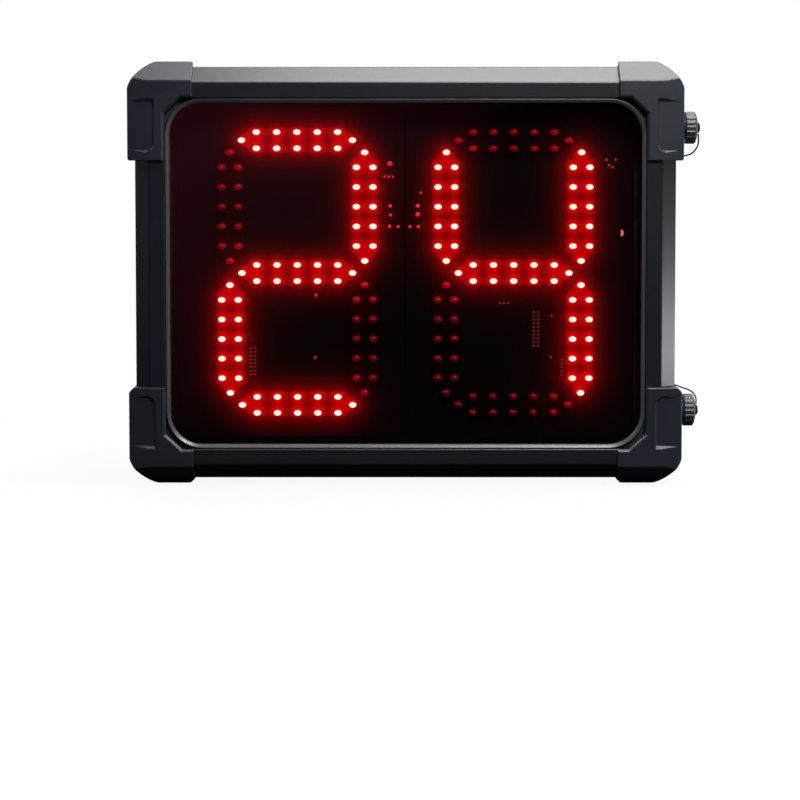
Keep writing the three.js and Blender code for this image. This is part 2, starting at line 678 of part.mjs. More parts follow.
function addRear() {
  const outline = (inset) => clippedRectangle(
    COVER_X - inset,
    COVER_Z - inset,
    COVER_CLIP - inset * CLIP_SHARE,
  );
  const holes = screwHoles();
  const cover = prism(outline(0), 0, COVER_THICKNESS, facing);
  const gasket = prism(outline(GASKET_INSET), COVER_GASKET_BACK, COVER_GASKET_FRONT, facing, [
    outline(GASKET_INSET + GASKET_WIDTH).reverse(),
  ]);
  add(clock, 'rear_cover', cover.subtract(holes), blackPaint);
  add(clock, 'rear_cover_gasket', gasket.subtract(holes), blackRubber);
  COVER_SCREWS.forEach((place, i) => {
    add(clock, `cover_screw_${i + 1}`, coverScrew(place, 0, SEAT / 2, SCREW_LENGTH), zincScrew);
  });
}

// One oval LED standing in its holder
function led(x, z) {
  const foot = (HOLDER_BACK + HOLDER_FRONT) / 2;
  const profile = [
    [0, foot], [1, foot], [1, LED_TIP - LED_DOME], [LED_TIP_SHARE, LED_TIP], [0, LED_TIP],
  ];
  const place = (a, t, b) => [x + a * LED_WIDTH / 2, -t, z + b * LED_HEIGHT / 2];
  return turned(profile, place, LED_SIDES);
}

// A segment's holder, pointed at both ends, with its LEDs. run is half the length between the
// first and the last pair, and gap is the distance between the two LEDs of a pair.
function segment(run, pitch, gap, size, turn) {
  const length = run + LED_END_STEP + size / 2 + HOLDER_MARGIN;
  const width = gap / 2 + size / 2 + HOLDER_MARGIN;
  const outline = [
    [-length, 0], [width - length, -width], [length - width, -width],
    [length, 0], [length - width, width], [width - length, width],
  ].map(turn);
  const places = [[-run - LED_END_STEP, 0], [run + LED_END_STEP, 0]];
  for (let i = 0; i < LED_PAIRS; i += 1) {
    places.push([i * pitch - run, gap / 2], [i * pitch - run, -gap / 2]);
  }
  return joined([
    prism(outline, HOLDER_BACK, HOLDER_FRONT, facing),
    ...places.map(turn).map(([x, z]) => led(x, z)),
  ]);
}

function addDigits() {
  const level = segment(LEVEL_RUN, LED_PITCH_ACROSS, LED_ROW_GAP, LED_HEIGHT, ([p, q]) => [p, q]);
  const post = segment(UPRIGHT_RUN, LED_PITCH_UP, LED_COLUMN_GAP, LED_WIDTH, ([p, q]) => [q, p]);
  const [w, h] = [DIGIT_HALF_WIDTH, DIGIT_HALF_HEIGHT];
  const segments = {
    a: [level, 0, h],
    b: [post, w, h / 2],
    c: [post, w, -h / 2],
    d: [level, 0, -h],
    e: [post, -w, -h / 2],
    f: [post, -w, h / 2],
    g: [level, 0, 0],
  };
  [['left', -DIGIT_OFFSET], ['right', DIGIT_OFFSET]].forEach(([side, offset]) => {
    const digit = new THREE.Group();
    digit.position.x = offset;
    Object.entries(segments).forEach(([letter, [body, x, z]]) => {
      add(digit, `${side}_segment_${letter}`, body, redEpoxy).position.set(x, 0, z);
    });
    clock.add(digit);
  });
}

// Digit boards
const BOARD_HALF_WIDTH = (WINDOW_X - BOARD_INSET - BOARD_SEAM / 2) / 2;
const BOARD_HALF_HEIGHT = WINDOW_Z - BOARD_INSET;
const BOARD_OFFSET = BOARD_SEAM / 2 + BOARD_HALF_WIDTH;

function pillarPlaces() {
  const places = (offset, shares) => shares.map(([x, z]) => [
    offset + x * BOARD_HALF_WIDTH,
    z * BOARD_HALF_HEIGHT,
  ]);
  return [...places(-BOARD_OFFSET, LEFT_PILLAR_SHARES), ...places(BOARD_OFFSET, RIGHT_PILLAR_SHARES)];
}

function addBoards() {
  const outline = (offset) => box(
    [offset - BOARD_HALF_WIDTH, offset + BOARD_HALF_WIDTH],
    [BOARD_BACK, BOARD_FRONT],
    [-BOARD_HALF_HEIGHT, BOARD_HALF_HEIGHT],
  );
  add(clock, 'left_digit_board', outline(-BOARD_OFFSET), boardMask);
  add(clock, 'right_digit_board', outline(BOARD_OFFSET), boardMask);
  const receiverBase = BOARD_FRONT + SEAT;
  const shoulder = receiverBase + RECEIVER_LENGTH - RECEIVER_RADIUS / 2;
  add(clock, 'remote_receiver', turned([
    [0, receiverBase], [RECEIVER_RADIUS, receiverBase], [RECEIVER_RADIUS, shoulder],
    [RECEIVER_RADIUS * LED_TIP_SHARE, receiverBase + RECEIVER_LENGTH],
    [0, receiverBase + RECEIVER_LENGTH],
  ], alongY(WINDOW_X - RECEIVER_FROM_EDGE, RECEIVER_HEIGHT)), redEpoxy);
}

// Control board
const CONTROL_RIGHT = CONTROL_LEFT + CONTROL_WIDTH;
const CONTROL_BOTTOM = CONTROL_TOP - CONTROL_HEIGHT;
const HEADER_TOP = CONTROL_TOP - HEADER_DROP;

function addTray() {
  const reachX = FRAME_X - PROFILE_WALL - HOLE_CLEARANCE;
  const reachZ = FRAME_Z - PROFILE_WALL - HOLE_CLEARANCE;
  const slotX = [HEADER_X - TRAY_SLOT_WIDTH / 2, HEADER_X + TRAY_SLOT_WIDTH / 2];
  const slotZ = [RIBBON_RISE - TRAY_SLOT_HEIGHT / 2, RIBBON_RISE + TRAY_SLOT_HEIGHT / 2];
  const middle = (TRAY_BACK + TRAY_FRONT) / 2;
  const front = pillarPlaces().map(([x, z]) => bar(
    PILLAR_RADIUS,
    middle,
    TRAY_FRONT + PILLAR_HEIGHT,
    alongY(x, z),
    PILLAR_SIDES,
  ));
  const inset = CONTROL_PILLAR_INSET;
  const back = [CONTROL_LEFT + inset, CONTROL_RIGHT - inset].flatMap((x) => [
    CONTROL_BOTTOM + inset,
    CONTROL_TOP - inset,
  ].map((z) => bar(PILLAR_RADIUS, TRAY_BACK - CONTROL_PILLAR, middle, alongY(x, z), PILLAR_SIDES)));
  const plate = prism(clippedRectangle(reachX, reachZ, TRAY_CLIP), TRAY_BACK, TRAY_FRONT, facing);
  const slot = box(slotX, [TRAY_BACK - OVERRUN, TRAY_FRONT + OVERRUN], slotZ);
  add(clock, 'board_tray', joined([plate.subtract(slot), ...front, ...back]), steelSheet);
}

function addControl() {
  const middle = (CONTROL_BACK + CONTROL_FRONT) / 2;
  const terminalZ = (CONTROL_TOP + CONTROL_BOTTOM) / 2;
  const chips = CHIP_SHARES.map(([across01, up01]) => {
    const x = CONTROL_LEFT + across01 * CONTROL_WIDTH;
    const z = CONTROL_BOTTOM + up01 * CONTROL_HEIGHT;
    return box([x, x + CHIP_SIZE], [CONTROL_BACK - CHIP_THICKNESS, middle], [z, z + CHIP_SIZE]);
  });
  add(clock, 'control_board', joined([
    box([CONTROL_LEFT, CONTROL_RIGHT], [CONTROL_BACK, CONTROL_FRONT], [CONTROL_BOTTOM, CONTROL_TOP]),
    box([HEADER_X - HEADER_WIDTH / 2, HEADER_X + HEADER_WIDTH / 2],
      [CONTROL_BACK - HEADER_DEPTH, middle], [HEADER_TOP - HEADER_HEIGHT, HEADER_TOP]),
    box([CONTROL_RIGHT - TERMINAL_WIDTH, CONTROL_RIGHT], [CONTROL_BACK - TERMINAL_DEPTH, middle],
      [terminalZ - TERMINAL_HEIGHT / 2, terminalZ + TERMINAL_HEIGHT / 2]),
    ...chips,
  ]), boardGreen);
}

// The ribbon leaves the header backwards, turns up and goes forward through the tray's slot
function addRibbon() {
  const half = RIBBON_THICKNESS / 2;
  const start = HEADER_TOP - HEADER_HEIGHT / 2;
  const header = CONTROL_BACK - HEADER_DEPTH - SEAT;
  const loop = header - RIBBON_LOOP;
  const end = BOARD_BACK - SEAT;
  add(clock, 'ribbon_cable', prism([
    [start - half, header], [start - half, loop], [start + half, loop - RIBBON_THICKNESS],
    [RIBBON_RISE - half, loop - RIBBON_THICKNESS], [RIBBON_RISE + half, loop], [RIBBON_RISE + half, end],
    [RIBBON_RISE - half, end], [RIBBON_RISE - half, loop], [start + half, loop], [start + half, header],
  ], HEADER_X - RIBBON_WIDTH / 2, HEADER_X + RIBBON_WIDTH / 2, across), ribbonGrey);
}

function addBuzzer() {
  const front = TRAY_BACK - SEAT;
  const back = front - BUZZER_HEIGHT;
  add(clock, 'buzzer', turned([
    [0, front], [BUZZER_RADIUS, front], [BUZZER_RADIUS, back], [BUZZER_HOLE, back],
    [BUZZER_HOLE, back + BUZZER_HOLE_DEPTH], [0, back + BUZZER_HOLE_DEPTH],
  ], alongY(BUZZER_X, BUZZER_Z)), nylonBlack);
}

function addSupply() {
  const right = SUPPLY_LEFT + SUPPLY_WIDTH;
  const top = SUPPLY_BOTTOM + SUPPLY_HEIGHT;
  const front = TRAY_BACK - SEAT;
  const back = front - SUPPLY_DEPTH;
  const baseBack = front - SUPPLY_WALL;
  const lid = SUPPLY_WALL + FIT;
  const [low, high] = [SUPPLY_BOTTOM + lid, top - lid];
  const [from, to] = TRANSFORMER_SHARES;
  const along = (share) => SUPPLY_LEFT + share * SUPPLY_WIDTH;
  add(clock, 'power_supply_base', joined([
    box([SUPPLY_LEFT, right], [baseBack, front], [low, high]),
    box([SUPPLY_LEFT, SUPPLY_LEFT + SUPPLY_WALL], [back + lid, front], [low, high]),
    box([right - SUPPLY_WALL, right], [back + lid, front], [low, high]),
    box([along(from), along(to)], [back + SUPPLY_DEPTH * from, front],
      [low + SUPPLY_HEIGHT * from, high - lid]),
  ]), steelSheet);
  const slot = SUPPLY_WIDTH / (2 * SUPPLY_SLOTS);
  const slots = Array.from({ length: SUPPLY_SLOTS }, (_, i) => {
    const x = SUPPLY_LEFT + (2 * i + 1) * slot - slot * SUPPLY_SLOT_SHARE;
    return box(
      [x, x + slot * SUPPLY_SLOT_SHARE * 2],
      [back - OVERRUN, back + SUPPLY_WALL],
      [SUPPLY_BOTTOM + SUPPLY_HEIGHT * SUPPLY_SLOT_SHARE, top - SUPPLY_HEIGHT * SUPPLY_SLOT_SHARE],
    );
  });
  add(clock, 'power_supply_cover', joined([
    box([SUPPLY_LEFT, right], [back, back + SUPPLY_WALL], [SUPPLY_BOTTOM, top]),
    box([SUPPLY_LEFT, right], [back, front], [SUPPLY_BOTTOM, SUPPLY_BOTTOM + SUPPLY_WALL]),
    box([SUPPLY_LEFT, right], [back, front], [top - SUPPLY_WALL, top]),
  ]).subtract(joined(slots)), steelSheet);
}

function addLeads() {
  add(clock, 'mains_lead', lead(MAINS_LEAD, MAINS_LEAD_RADIUS, LEAD_STEPS), leadSheath);
  add(clock, 'signal_lead', lead(SIGNAL_LEAD, SIGNAL_LEAD_RADIUS, LEAD_STEPS), leadSheath);
}

// Outline of a dust cap's grip: ribs of one width, with hollows between them
function gripOutline() {
  return Array.from({ length: CAP_RIBS }, (_, i) => RIB_SHARES.map(([share, crest]) => {
    const turn = (i + share) / CAP_RIBS * Math.PI * 2;
    const radius = CAP_RADIUS - CAP_RIB_DEPTH * (1 - crest);
    return [radius * Math.cos(turn), radius * Math.sin(turn)];
  })).flat();
}

function dustCap(axis) {
  const chamfer = turned([
    [CAP_RADIUS - CAP_END_CHAMFER - OVERRUN, CAP_END + OVERRUN],
    [CAP_RADIUS + OVERRUN, CAP_END - CAP_END_CHAMFER - OVERRUN],
    [CAP_RADIUS + OVERRUN, CAP_END + OVERRUN],
    [CAP_RADIUS - CAP_END_CHAMFER - OVERRUN, CAP_END + OVERRUN],
  ], axis);
  const rivetFoot = (CAP_INNER_END + CAP_END) / 2;
  return prism(gripOutline(), CAP_RIM, CAP_END, axial)
    .subtract(bar(BARREL_RADIUS + FIT, CAP_RIM - OVERRUN, CAP_INNER_END, axis))
    .subtract(chamfer)
    .add(bar(RIVET_RADIUS, rivetFoot, RIVET_END, axis))
    .add(bar(RIVET_HEAD_RADIUS, RIVET_HEAD_BACK, RIVET_END, axis));
}

// A regular outline, with its corners on a circle
function polygon(radius, sides) {
  return Array.from({ length: sides }, (_, i) => {
    const turn = i / sides * Math.PI * 2;
    return [radius * Math.cos(turn), radius * Math.sin(turn)];
  });
}

function socketInsert(axis) {
  const face = BARREL_END - INSERT_RECESS;
  const contacts = Array.from({ length: CONTACTS }, (_, i) => {
    const turn = i / CONTACTS * Math.PI * 2;
    const place = alongX(CONTACT_CIRCLE * Math.cos(turn), CONTACT_CIRCLE * Math.sin(turn));
    return bar(CONTACT_RADIUS, face - CONTACT_DEPTH, face + OVERRUN, place, PILLAR_SIDES);
  });
  return bar(BARREL_BORE - SEAT, -BARREL_INSIDE - INSERT_TAIL, face, axis).subtract(joined(contacts));
}

// A wire tether that ends in an eyelet round its screw
function tether(points, screwAxis) {
  return joined([
    lead(points, TETHER_RADIUS, TETHER_STEPS),
    ring(SCREW_RADIUS + FIT, EYELET_RADIUS, SEAT, SEAT + EYELET_THICKNESS, screwAxis),
  ]);
}

// A socket with its dust cap, about an axis along x that starts at the case's side. side is the
// way in z from the socket to its tether's screw.
function addSocket(name, z, side, points) {
  const axis = alongX(0, 0);
  const screwAxis = alongX(SOCKET_LEVEL - TETHER_SCREW_LEVEL, side * TETHER_SCREW_DROP);
  const group = new THREE.Group();
  group.position.set(CORNER_X, -SOCKET_LEVEL, z);
  const flangeBack = SEAT + SOCKET_GASKET + SEAT;
  const flangeFront = flangeBack + SOCKET_FLANGE;
  add(group, `${name}_socket`, turned([
    [BARREL_BORE, -BARREL_INSIDE], [BARREL_RADIUS, -BARREL_INSIDE], [BARREL_RADIUS, flangeBack],
    [SOCKET_FLANGE_RADIUS, flangeBack], [SOCKET_FLANGE_RADIUS, flangeFront],
    [BARREL_RADIUS, flangeFront], [BARREL_RADIUS, BARREL_END], [BARREL_BORE, BARREL_END],
    [BARREL_BORE, -BARREL_INSIDE],
  ], axis), nylonBlack);
  add(group, `${name}_socket_insert`, socketInsert(axis), nylonBlack);
  const nutFront = -CORNER_WALL - SEAT;
  const nutBore = bar(BARREL_RADIUS + FIT, nutFront - NUT_THICKNESS - OVERRUN, nutFront + OVERRUN, axis);
  const nut = prism(polygon(NUT_RADIUS, NUT_SIDES), nutFront - NUT_THICKNESS, nutFront, axial).subtract(nutBore);
  add(group, `${name}_socket_nut`, nut, nylonBlack);
  const gasket = ring(BARREL_RADIUS + FIT, SOCKET_GASKET_RADIUS, SEAT, SEAT + SOCKET_GASKET, axis);
  add(group, `${name}_socket_gasket`, gasket, blackRubber);
  add(group, `${name}_dust_cap`, dustCap(axis), nylonBlack);
  const seal = bar(BARREL_RADIUS, BARREL_END + SEAT, BARREL_END + SEAT + SEAL_THICKNESS, axis);
  add(group, `${name}_cap_seal`, seal, blackRubber);
  const swivel = ring(RIVET_RADIUS + FIT, RING_RADIUS, RING_BACK, RING_FRONT, axis);
  add(group, `${name}_tether_ring`, swivel, zincScrew);
  add(group, `${name}_tether`, tether(points, screwAxis), leadSheath);
  const headBack = SEAT + EYELET_THICKNESS + SEAT;
  add(group, `${name}_tether_screw`, turned([
    [0, -TETHER_SCREW_DEPTH], [SCREW_RADIUS, -TETHER_SCREW_DEPTH], [SCREW_RADIUS, headBack],
    [TETHER_SCREW_HEAD, headBack], [TETHER_SCREW_HEAD, headBack + TETHER_SCREW_HEAD_THICKNESS],
    [0, headBack + TETHER_SCREW_HEAD_THICKNESS],
  ], screwAxis), zincScrew);
  clock.add(group);
}

const clock = new THREE.Group();
addProfiles();
addCorners();
addWindow();
addRear();
addDigits();
addBoards();
addTray();
addControl();
addRibbon();
addBuzzer();
addSupply();
addLeads();
addSocket('upper', SOCKET_FROM_MIDDLE, -1, UPPER_TETHER);
addSocket('lower', -SOCKET_FROM_MIDDLE, 1, LOWER_TETHER);

export default clock;
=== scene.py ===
"""A two-digit shot clock in an aluminium frame with moulded corners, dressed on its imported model.

Shapes are worked out in millimetres: x runs to the viewer's right, z runs up, and a level is a height above
the flat rear cover, towards the front. at() turns such points to metres in the model's frame.
"""

import math

import bmesh
import bpy
import numpy as np
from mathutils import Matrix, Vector


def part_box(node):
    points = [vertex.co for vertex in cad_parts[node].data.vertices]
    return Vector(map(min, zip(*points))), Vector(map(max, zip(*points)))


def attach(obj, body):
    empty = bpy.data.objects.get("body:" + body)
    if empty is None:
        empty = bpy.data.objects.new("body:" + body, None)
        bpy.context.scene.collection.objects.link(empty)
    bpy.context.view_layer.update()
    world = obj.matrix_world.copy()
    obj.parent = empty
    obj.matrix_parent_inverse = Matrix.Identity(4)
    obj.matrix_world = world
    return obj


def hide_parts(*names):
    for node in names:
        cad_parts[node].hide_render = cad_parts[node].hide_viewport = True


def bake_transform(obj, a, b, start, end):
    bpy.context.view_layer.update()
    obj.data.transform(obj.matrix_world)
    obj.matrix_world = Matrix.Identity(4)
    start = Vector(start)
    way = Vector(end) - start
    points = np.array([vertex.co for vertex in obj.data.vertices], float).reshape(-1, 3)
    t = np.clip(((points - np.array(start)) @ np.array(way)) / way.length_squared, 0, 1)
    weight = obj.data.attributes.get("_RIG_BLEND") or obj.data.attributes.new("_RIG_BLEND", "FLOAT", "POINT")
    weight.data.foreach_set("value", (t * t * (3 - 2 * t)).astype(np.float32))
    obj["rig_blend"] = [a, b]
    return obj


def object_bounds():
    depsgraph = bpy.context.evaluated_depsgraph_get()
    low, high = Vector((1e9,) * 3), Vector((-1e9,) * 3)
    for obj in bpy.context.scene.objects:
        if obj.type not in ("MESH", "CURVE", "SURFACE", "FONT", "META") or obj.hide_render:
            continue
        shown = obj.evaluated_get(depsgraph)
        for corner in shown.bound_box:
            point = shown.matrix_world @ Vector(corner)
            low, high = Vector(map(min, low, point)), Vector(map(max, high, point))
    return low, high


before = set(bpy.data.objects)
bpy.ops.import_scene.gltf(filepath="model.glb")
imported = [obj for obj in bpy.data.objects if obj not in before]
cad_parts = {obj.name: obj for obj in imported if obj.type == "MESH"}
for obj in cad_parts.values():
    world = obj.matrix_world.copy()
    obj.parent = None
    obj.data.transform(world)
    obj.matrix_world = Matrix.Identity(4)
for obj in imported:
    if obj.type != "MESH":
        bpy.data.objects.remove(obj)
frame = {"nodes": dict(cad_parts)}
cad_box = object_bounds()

bl_info = {
    "name": "Shot Clock",
    "version": (1, 0, 0),
    "blender": (4, 5, 0),
    "location": "View3D > Sidebar > Shot Clock",
    "description": "Builds the finished pieces, materials and studio of a two-digit shot clock",
    "category": "Add Mesh",
}

MM = 0.001

# Photograph and camera, as fitted to the frame's edges
PHOTO_PIXELS = 800
PRINCIPAL_POINT = (394.8, 270.6)
FOCAL_PIXELS = 2169.3
SENSOR = 36
CAMERA_ASIDE = -7.5
CAMERA_HEIGHT = 91.1
CAMERA_FROM_FRONT = 1503

# Rounding of CAD parts: angles in degrees, and the draft behind the top corner pieces' arm ends
FLAT_ANGLE = 0.8
BEVEL_ANGLE = 22
BEVEL_SHARE = 0.4
BEVEL_SEGMENTS = 3
CORNER_WELD = 0.2
CORNER_ARM_END = 147.7
DRAFT_FROM = 80
DRAFT = 0.094

# Distances below which points of a CAD part merge, doubles of a new piece merge, and an edge has no length
MERGE = 0.001
DOUBLES = 0.0005
NO_LENGTH = 0.0001

# Floor, in metres: how pale the camera sees it at the clock, and where it and its mirror image turn white
FLOOR_REACH = 6
FLOOR_GAP = 0.0002
FLOOR_PALE = 0.92
FLOOR_FADE = (0.3, 1.3)
MIRROR_FADE = (0.6, 1.6)

# White behind the clock: how far back a ray has to point to see some of it and all of it
BACKDROP_FADE = (0.5, 0.85)

# Lamps, in metres: the power that each takes, its place, the point that it faces, and its width and height
LAMPS = {
    "overhead": ("overhead_power", (0.4, -0.05, 1.25), (0.4, -0.05, 0), (1.2, 0.8)),
    "key": ("key_power", (0.3, -0.8, 0.7), (0.1, -0.09, 0.1), (0.35, 0.35)),
    "side": ("side_power", (0.62, 0, -0.1), (0, 0, -0.1), (0.5, 0.09)),
    "right_edge": ("edge_power", (0.95, -0.2, 0.87), (-0.16, -0.09, -0.12), (0.35, 0.35)),
    "left_edge": ("edge_power", (-0.95, -0.25, 0.87), (0.16, -0.09, -0.12), (0.35, 0.35)),
}

# Coated surfaces: size of their broad shade changes, and how much paler their worn edges are
SHADE_SIZE = 38
WORN_SHARE = 3.2

# Bezel and window, over the lens
BEZEL_WIDTH = 2.7
BEZEL_FLANGE = 4.5
BEZEL_FLANGE_THICKNESS = 1.8
BEZEL_CROWN = 1.4
BEZEL_ROUND = 0.5
BEZEL_SLOPE = 130
WINDOW_ROUND = 22.5
LENS_EDGE = 0.4

# Digits: LED places from the middle of a segment and of a digit
LED_PAIRS = 5
LEVEL_PITCH, UPRIGHT_PITCH = 14.2, 13.8
ROW_GAP, COLUMN_GAP = 11.3, 11.6
LED_END_STEP = 10.4
LED_CORNER_STEP = 8.5
LED_HALF_WIDTH, LED_HALF_HEIGHT = 2.8, 2.1
LED_DOME = 2.4
HOLDER_THICKNESS = 1
HOLDER_MARGIN = 1
HOLDER_TIP = 0.02
HOLDER_RINGS, HOLDER_POINTS = 73, 15
DIGIT_GAP = 57.2
LIT_SEGMENTS = {"left": "abged", "right": "fgbc"}
LEVEL_SEGMENTS = "adg"

# Spill of light round a lit LED on what lies there, as reaches and shares
SPILL = {
    "board": [(3.4, 1), (7, 0.35), (17, 0.014)],
    "holder": [(3.8, 1.4), (17, 0.016)],
    "unlit": [(14, 0.49)],
}

# Other light that an unlit LED catches: at half height, and its rise for each millimetre upwards
UNLIT_LIGHT = 0.32
UNLIT_RISE = 0.0024

# Lit LED, from its rim (0) to its middle (1): where red turns white, and where its light is full
WHITE_FROM, WHITE_FULL = 0.02, 0.1
LIGHT_FULL = 0.2
RIM_LIGHT, CORE_LIGHT = 1.6, 3.2

# Glint on the receiver: its strength, and how steeply it rises from the middle line and from the rim
GLINT = 2.6
GLINT_SLOPES = (4, 6)

# Red glow painted on the window as emission, for light scattered in the acrylic: its strength, and the span
# of x less z across which it falls off from the upper left
PAINTED_GLOW = 0.018
PAINTED_GLOW_SPAN = (-230, -30)

# Sockets and caps: distances outwards from the case's side
SOCKET_LEVEL = 28
SOCKET_Z = {"upper": 102, "lower": -102}
TETHER_SIDE = {"upper": -1, "lower": 1}
BARREL_RADIUS = 8.5
BARREL_BORE = 6.8
BARREL_END = 14.5
BARREL_INSIDE = -17
FLANGE_RADIUS = 11
FLANGE = (1.4, 4.4)
SOCKET_EDGE = 0.4
THREAD_START, THREAD_END = 5, 14
THREAD_SHARE = 0.075
CAP_RIM = 8.5
CAP_INNER_END = 15.9
CAP_END = 17.6
CAP_RADIUS = 11.6
CAP_BORE = 8.8
CAP_DOME = 3
CAP_RIM_ROUND = 0.5
POINTS_A_RIB = 10
RIB_NARROWNESS = 2.6
RIB_SOFTNESS = 0.8
RING = (2.3, 4, 17.8, 18.6)
INSERT_FACE = 7
INSERT_GAP = 0.2
INSERT_LIP = 0.4
INSERT_WELL = (0.7, 0.6)
INSERT_TAIL = 2
CONTACTS = 3
CONTACT_CIRCLE = 3.6
CONTACT_RADIUS = 0.9
CONTACT_LENGTH = 1
CONTACT_ROUND = 0.3
EYELET = (1.8, 4.6, 0.2, 1)
EYELET_EDGE = 0.2

# Rivets and screws: radii of shank and head, then the head's underside and top
RIVET = (2, 3, 18.8, 19.5)
RIVET_EDGE = 0.15
TETHER_SCREW = (1.5, 2.8, 1.2, 3.4)
TETHER_SCREW_FOOT = -2.6
TETHER_SCREW_LEVEL = 14
TETHER_SCREW_DROP = 17.5
TETHER_SCREW_DOME, TETHER_SCREW_RECESS = 0.7, 1.2
COVER_SCREW_HEAD = 1.7
COVER_SCREW_DOME, COVER_SCREW_RECESS = 0.12, 0.9
RECESS_REACH, RECESS_WIDTH = 0.62, 0.14
RECESS_SIDE_SLOPE, RECESS_END_SLOPE = 0.2, 0.3

# Tethers: radius, strands and their depth as a share, and the twist in radians for each millimetre
TETHER_RADIUS = 0.6
STRANDS = 3
STRAND_DEPTH = 0.06
STRAND_TWIST = 3

# Tethers, as [x, level, z] points from a socket's axis and the case's side
TETHERS = {
    "upper": [
        [18.2, 0, -4.3], [18.5, 0, -8.5], [18, 0, -12.6], [16.2, -0.3, -16], [13, -1, -18.8],
        [9.5, -2.5, -20], [6, -5, -20], [2.6, -7.8, -19], [0.9, -10.1, -17.8],
    ],
    "lower": [
        [18.2, 0, 4.3], [18.4, -1.6, 7.8], [17.4, -3.9, 10.9], [15.2, -5.8, 12.9], [12.6, -6.9, 14.2],
        [10, -7.4, 15], [7.7, -7.8, 15.8], [4.2, -8.4, 17], [0.9, -10.1, 17.5],
    ],
}

# Leads inside the case, as [x, level, z] points
MAINS_LEAD = [
    [173.4, 28, 102], [165, 28, 102], [148, 30, 100], [110, 34, 92], [60, 37, 78], [20, 37, 68],
    [0, 37, 65.4], [-10, 37, 65], [-19.6, 37, 65],
]
SIGNAL_LEAD = [
    [173.4, 28, -102], [165, 28, -102], [152, 31, -97], [144, 37, -82], [140, 41, -62],
    [133, 42.3, -47], [125, 42.3, -42.4], [116.5, 42.3, -42],
]
LEAD_RADIUS = {"mains_lead": 3, "signal_lead": 2.2}
LEAD_FLATNESS = 0.02

# Ribbon cable, as [level, z] points along its middle
RIBBON_ROUTE = [
    [29.3, -10], [26.4, -10], [25.2, -9.6], [24.7, -8.4], [24.7, 6], [25, 7.4], [26.4, 8], [64.8, 8],
]
RIBBON_WIRES = 16
RIBBON_WIDTH = 25
RIBBON_HALF = 0.6
RIBBON_WEB = 0.35
POINTS_A_WIRE = 6

# Buzzer: height and width of its rim's step, its rounded shoulder and its sound hole
BUZZER_RIM = 2
BUZZER_STEP = (0.8, 0.4)
BUZZER_ROUND = 1.5
BUZZER_HOLE = 2
BUZZER_HOLE_EDGE = 0.4
BUZZER_HOLE_DEPTH = 3

# Pin strips on the digit boards' fronts: x of each column, middle z and pins a column
PIN_STRIPS = {
    "left": [([-109, -106.2], -62.9, 8)],
    "right": [([90.5, 93.6], -39.9, 10), ([110.4], -67, 5)],
}
PIN_PITCH = 2.65
PIN_HALF = (0.75, 0.4)
PIN_FOOT, PIN_RISE, PIN_EDGE = 0.5, 0.4, 0.1
STRIP_HEIGHT = 1.2
STRIP_MARGIN = 1.3
STRIP_GAP, STRIP_EDGE = 0.15, 0.2

# Solder joints there: x, z, radius and the brightness of the glint painted on each, their height, and how
# many radii that painted glint covers
JOINTS = {
    "left": [
        (-11.1, 76.5, 2.2, 0.9), (-14.7, 67.4, 1.1, 1), (-11.8, 67.4, 1.1, 1), (-8.9, 67.4, 1.1, 0.9),
        (-10.8, 46.8, 1.5, 1.1), (-10.5, 40.4, 1.4, 0.9), (-11.2, 32.4, 1.5, 1.1), (-5.2, 32.2, 1.3, 1.2),
        (-63.2, -16.3, 1.7, 0.4), (-63.8, -60.5, 1.6, 0.2),
    ],
    "right": [
        (8.6, 46.9, 1.7, 1.2), (8.6, 40.9, 1.9, 1.2), (3.2, 32.2, 1.3, 1.2), (9, 32.2, 1.5, 1.1),
        (10.8, 56, 1.4, 0.5), (141.2, 79.2, 1.2, 0.5), (147.6, 79.3, 1.1, 0.4), (143, 75.2, 1.2, 0.5),
        (145.6, 74, 1.1, 0.4), (66.7, -21.8, 0.9, 0.3), (69.5, -21.8, 0.9, 0.3), (72.3, -21.8, 0.9, 0.3),
        (103.1, -30.8, 1, 0.2), (102.6, -60.2, 1, 0.2),
    ],
}
JOINT_HEIGHT = 0.8
JOINT_REACH = 1.01

# Light on the pins: what they have everywhere, and their share of the spill
PIN_LIGHT = 0.09
PIN_SPILL = 0.6


def linear(code):
    """Turns an sRGB hex colour to the linear colour that a shader takes."""
    value = np.array([int(code[i:i + 2], 16) / 255 for i in (0, 2, 4)])
    value = np.where(value <= 0.04045, value / 12.92, ((value + 0.055) / 1.055) ** 2.4)
    return (*value.tolist(), 1.0)


def per(size):
    """Pattern scale for a feature of that many millimetres, on coordinates in metres."""
    return 1 / (size * MM)


def length_setting(name, description, size):
    """A length that a user can change, given in millimetres."""
    return bpy.props.FloatProperty(name=name, description=description, default=size * MM, unit="LENGTH")


def colour_setting(name, description, code):
    """A colour that a user can change, given as an sRGB hex value."""
    return bpy.props.FloatVectorProperty(
        name=name, description=description, subtype="COLOR", size=4, min=0, max=1, default=linear(code))


def power_setting(name, description, watts):
    """A lamp's power that a user can change."""
    return bpy.props.FloatProperty(name=name, description=description, default=watts, unit="POWER")


class ShotClockSizes(bpy.types.PropertyGroup):
    """Sizes of the finishing shapes."""

    frame_edge: length_setting("Frame edge", "Radius along the extruded profiles' edges", 0.8)
    corner_edge: length_setting("Corner edge", "Radius along the moulded corners' edges", 0.85)
    sheet_edge: length_setting("Sheet edge", "Radius along the edges of sheet metal and boards", 0.25)
    grip_ribs: bpy.props.IntProperty(
        name="Grip ribs", description="Ribs round each dust cap", default=18, min=6)
    rib_depth: length_setting("Rib depth", "Depth of the hollows between the ribs", 0.7)
    thread_pitch: length_setting("Thread pitch", "Pitch of the sockets' threads", 1.5)
    board_step: length_setting("Board step", "Spacing of the points that carry the light on the boards", 1.5)


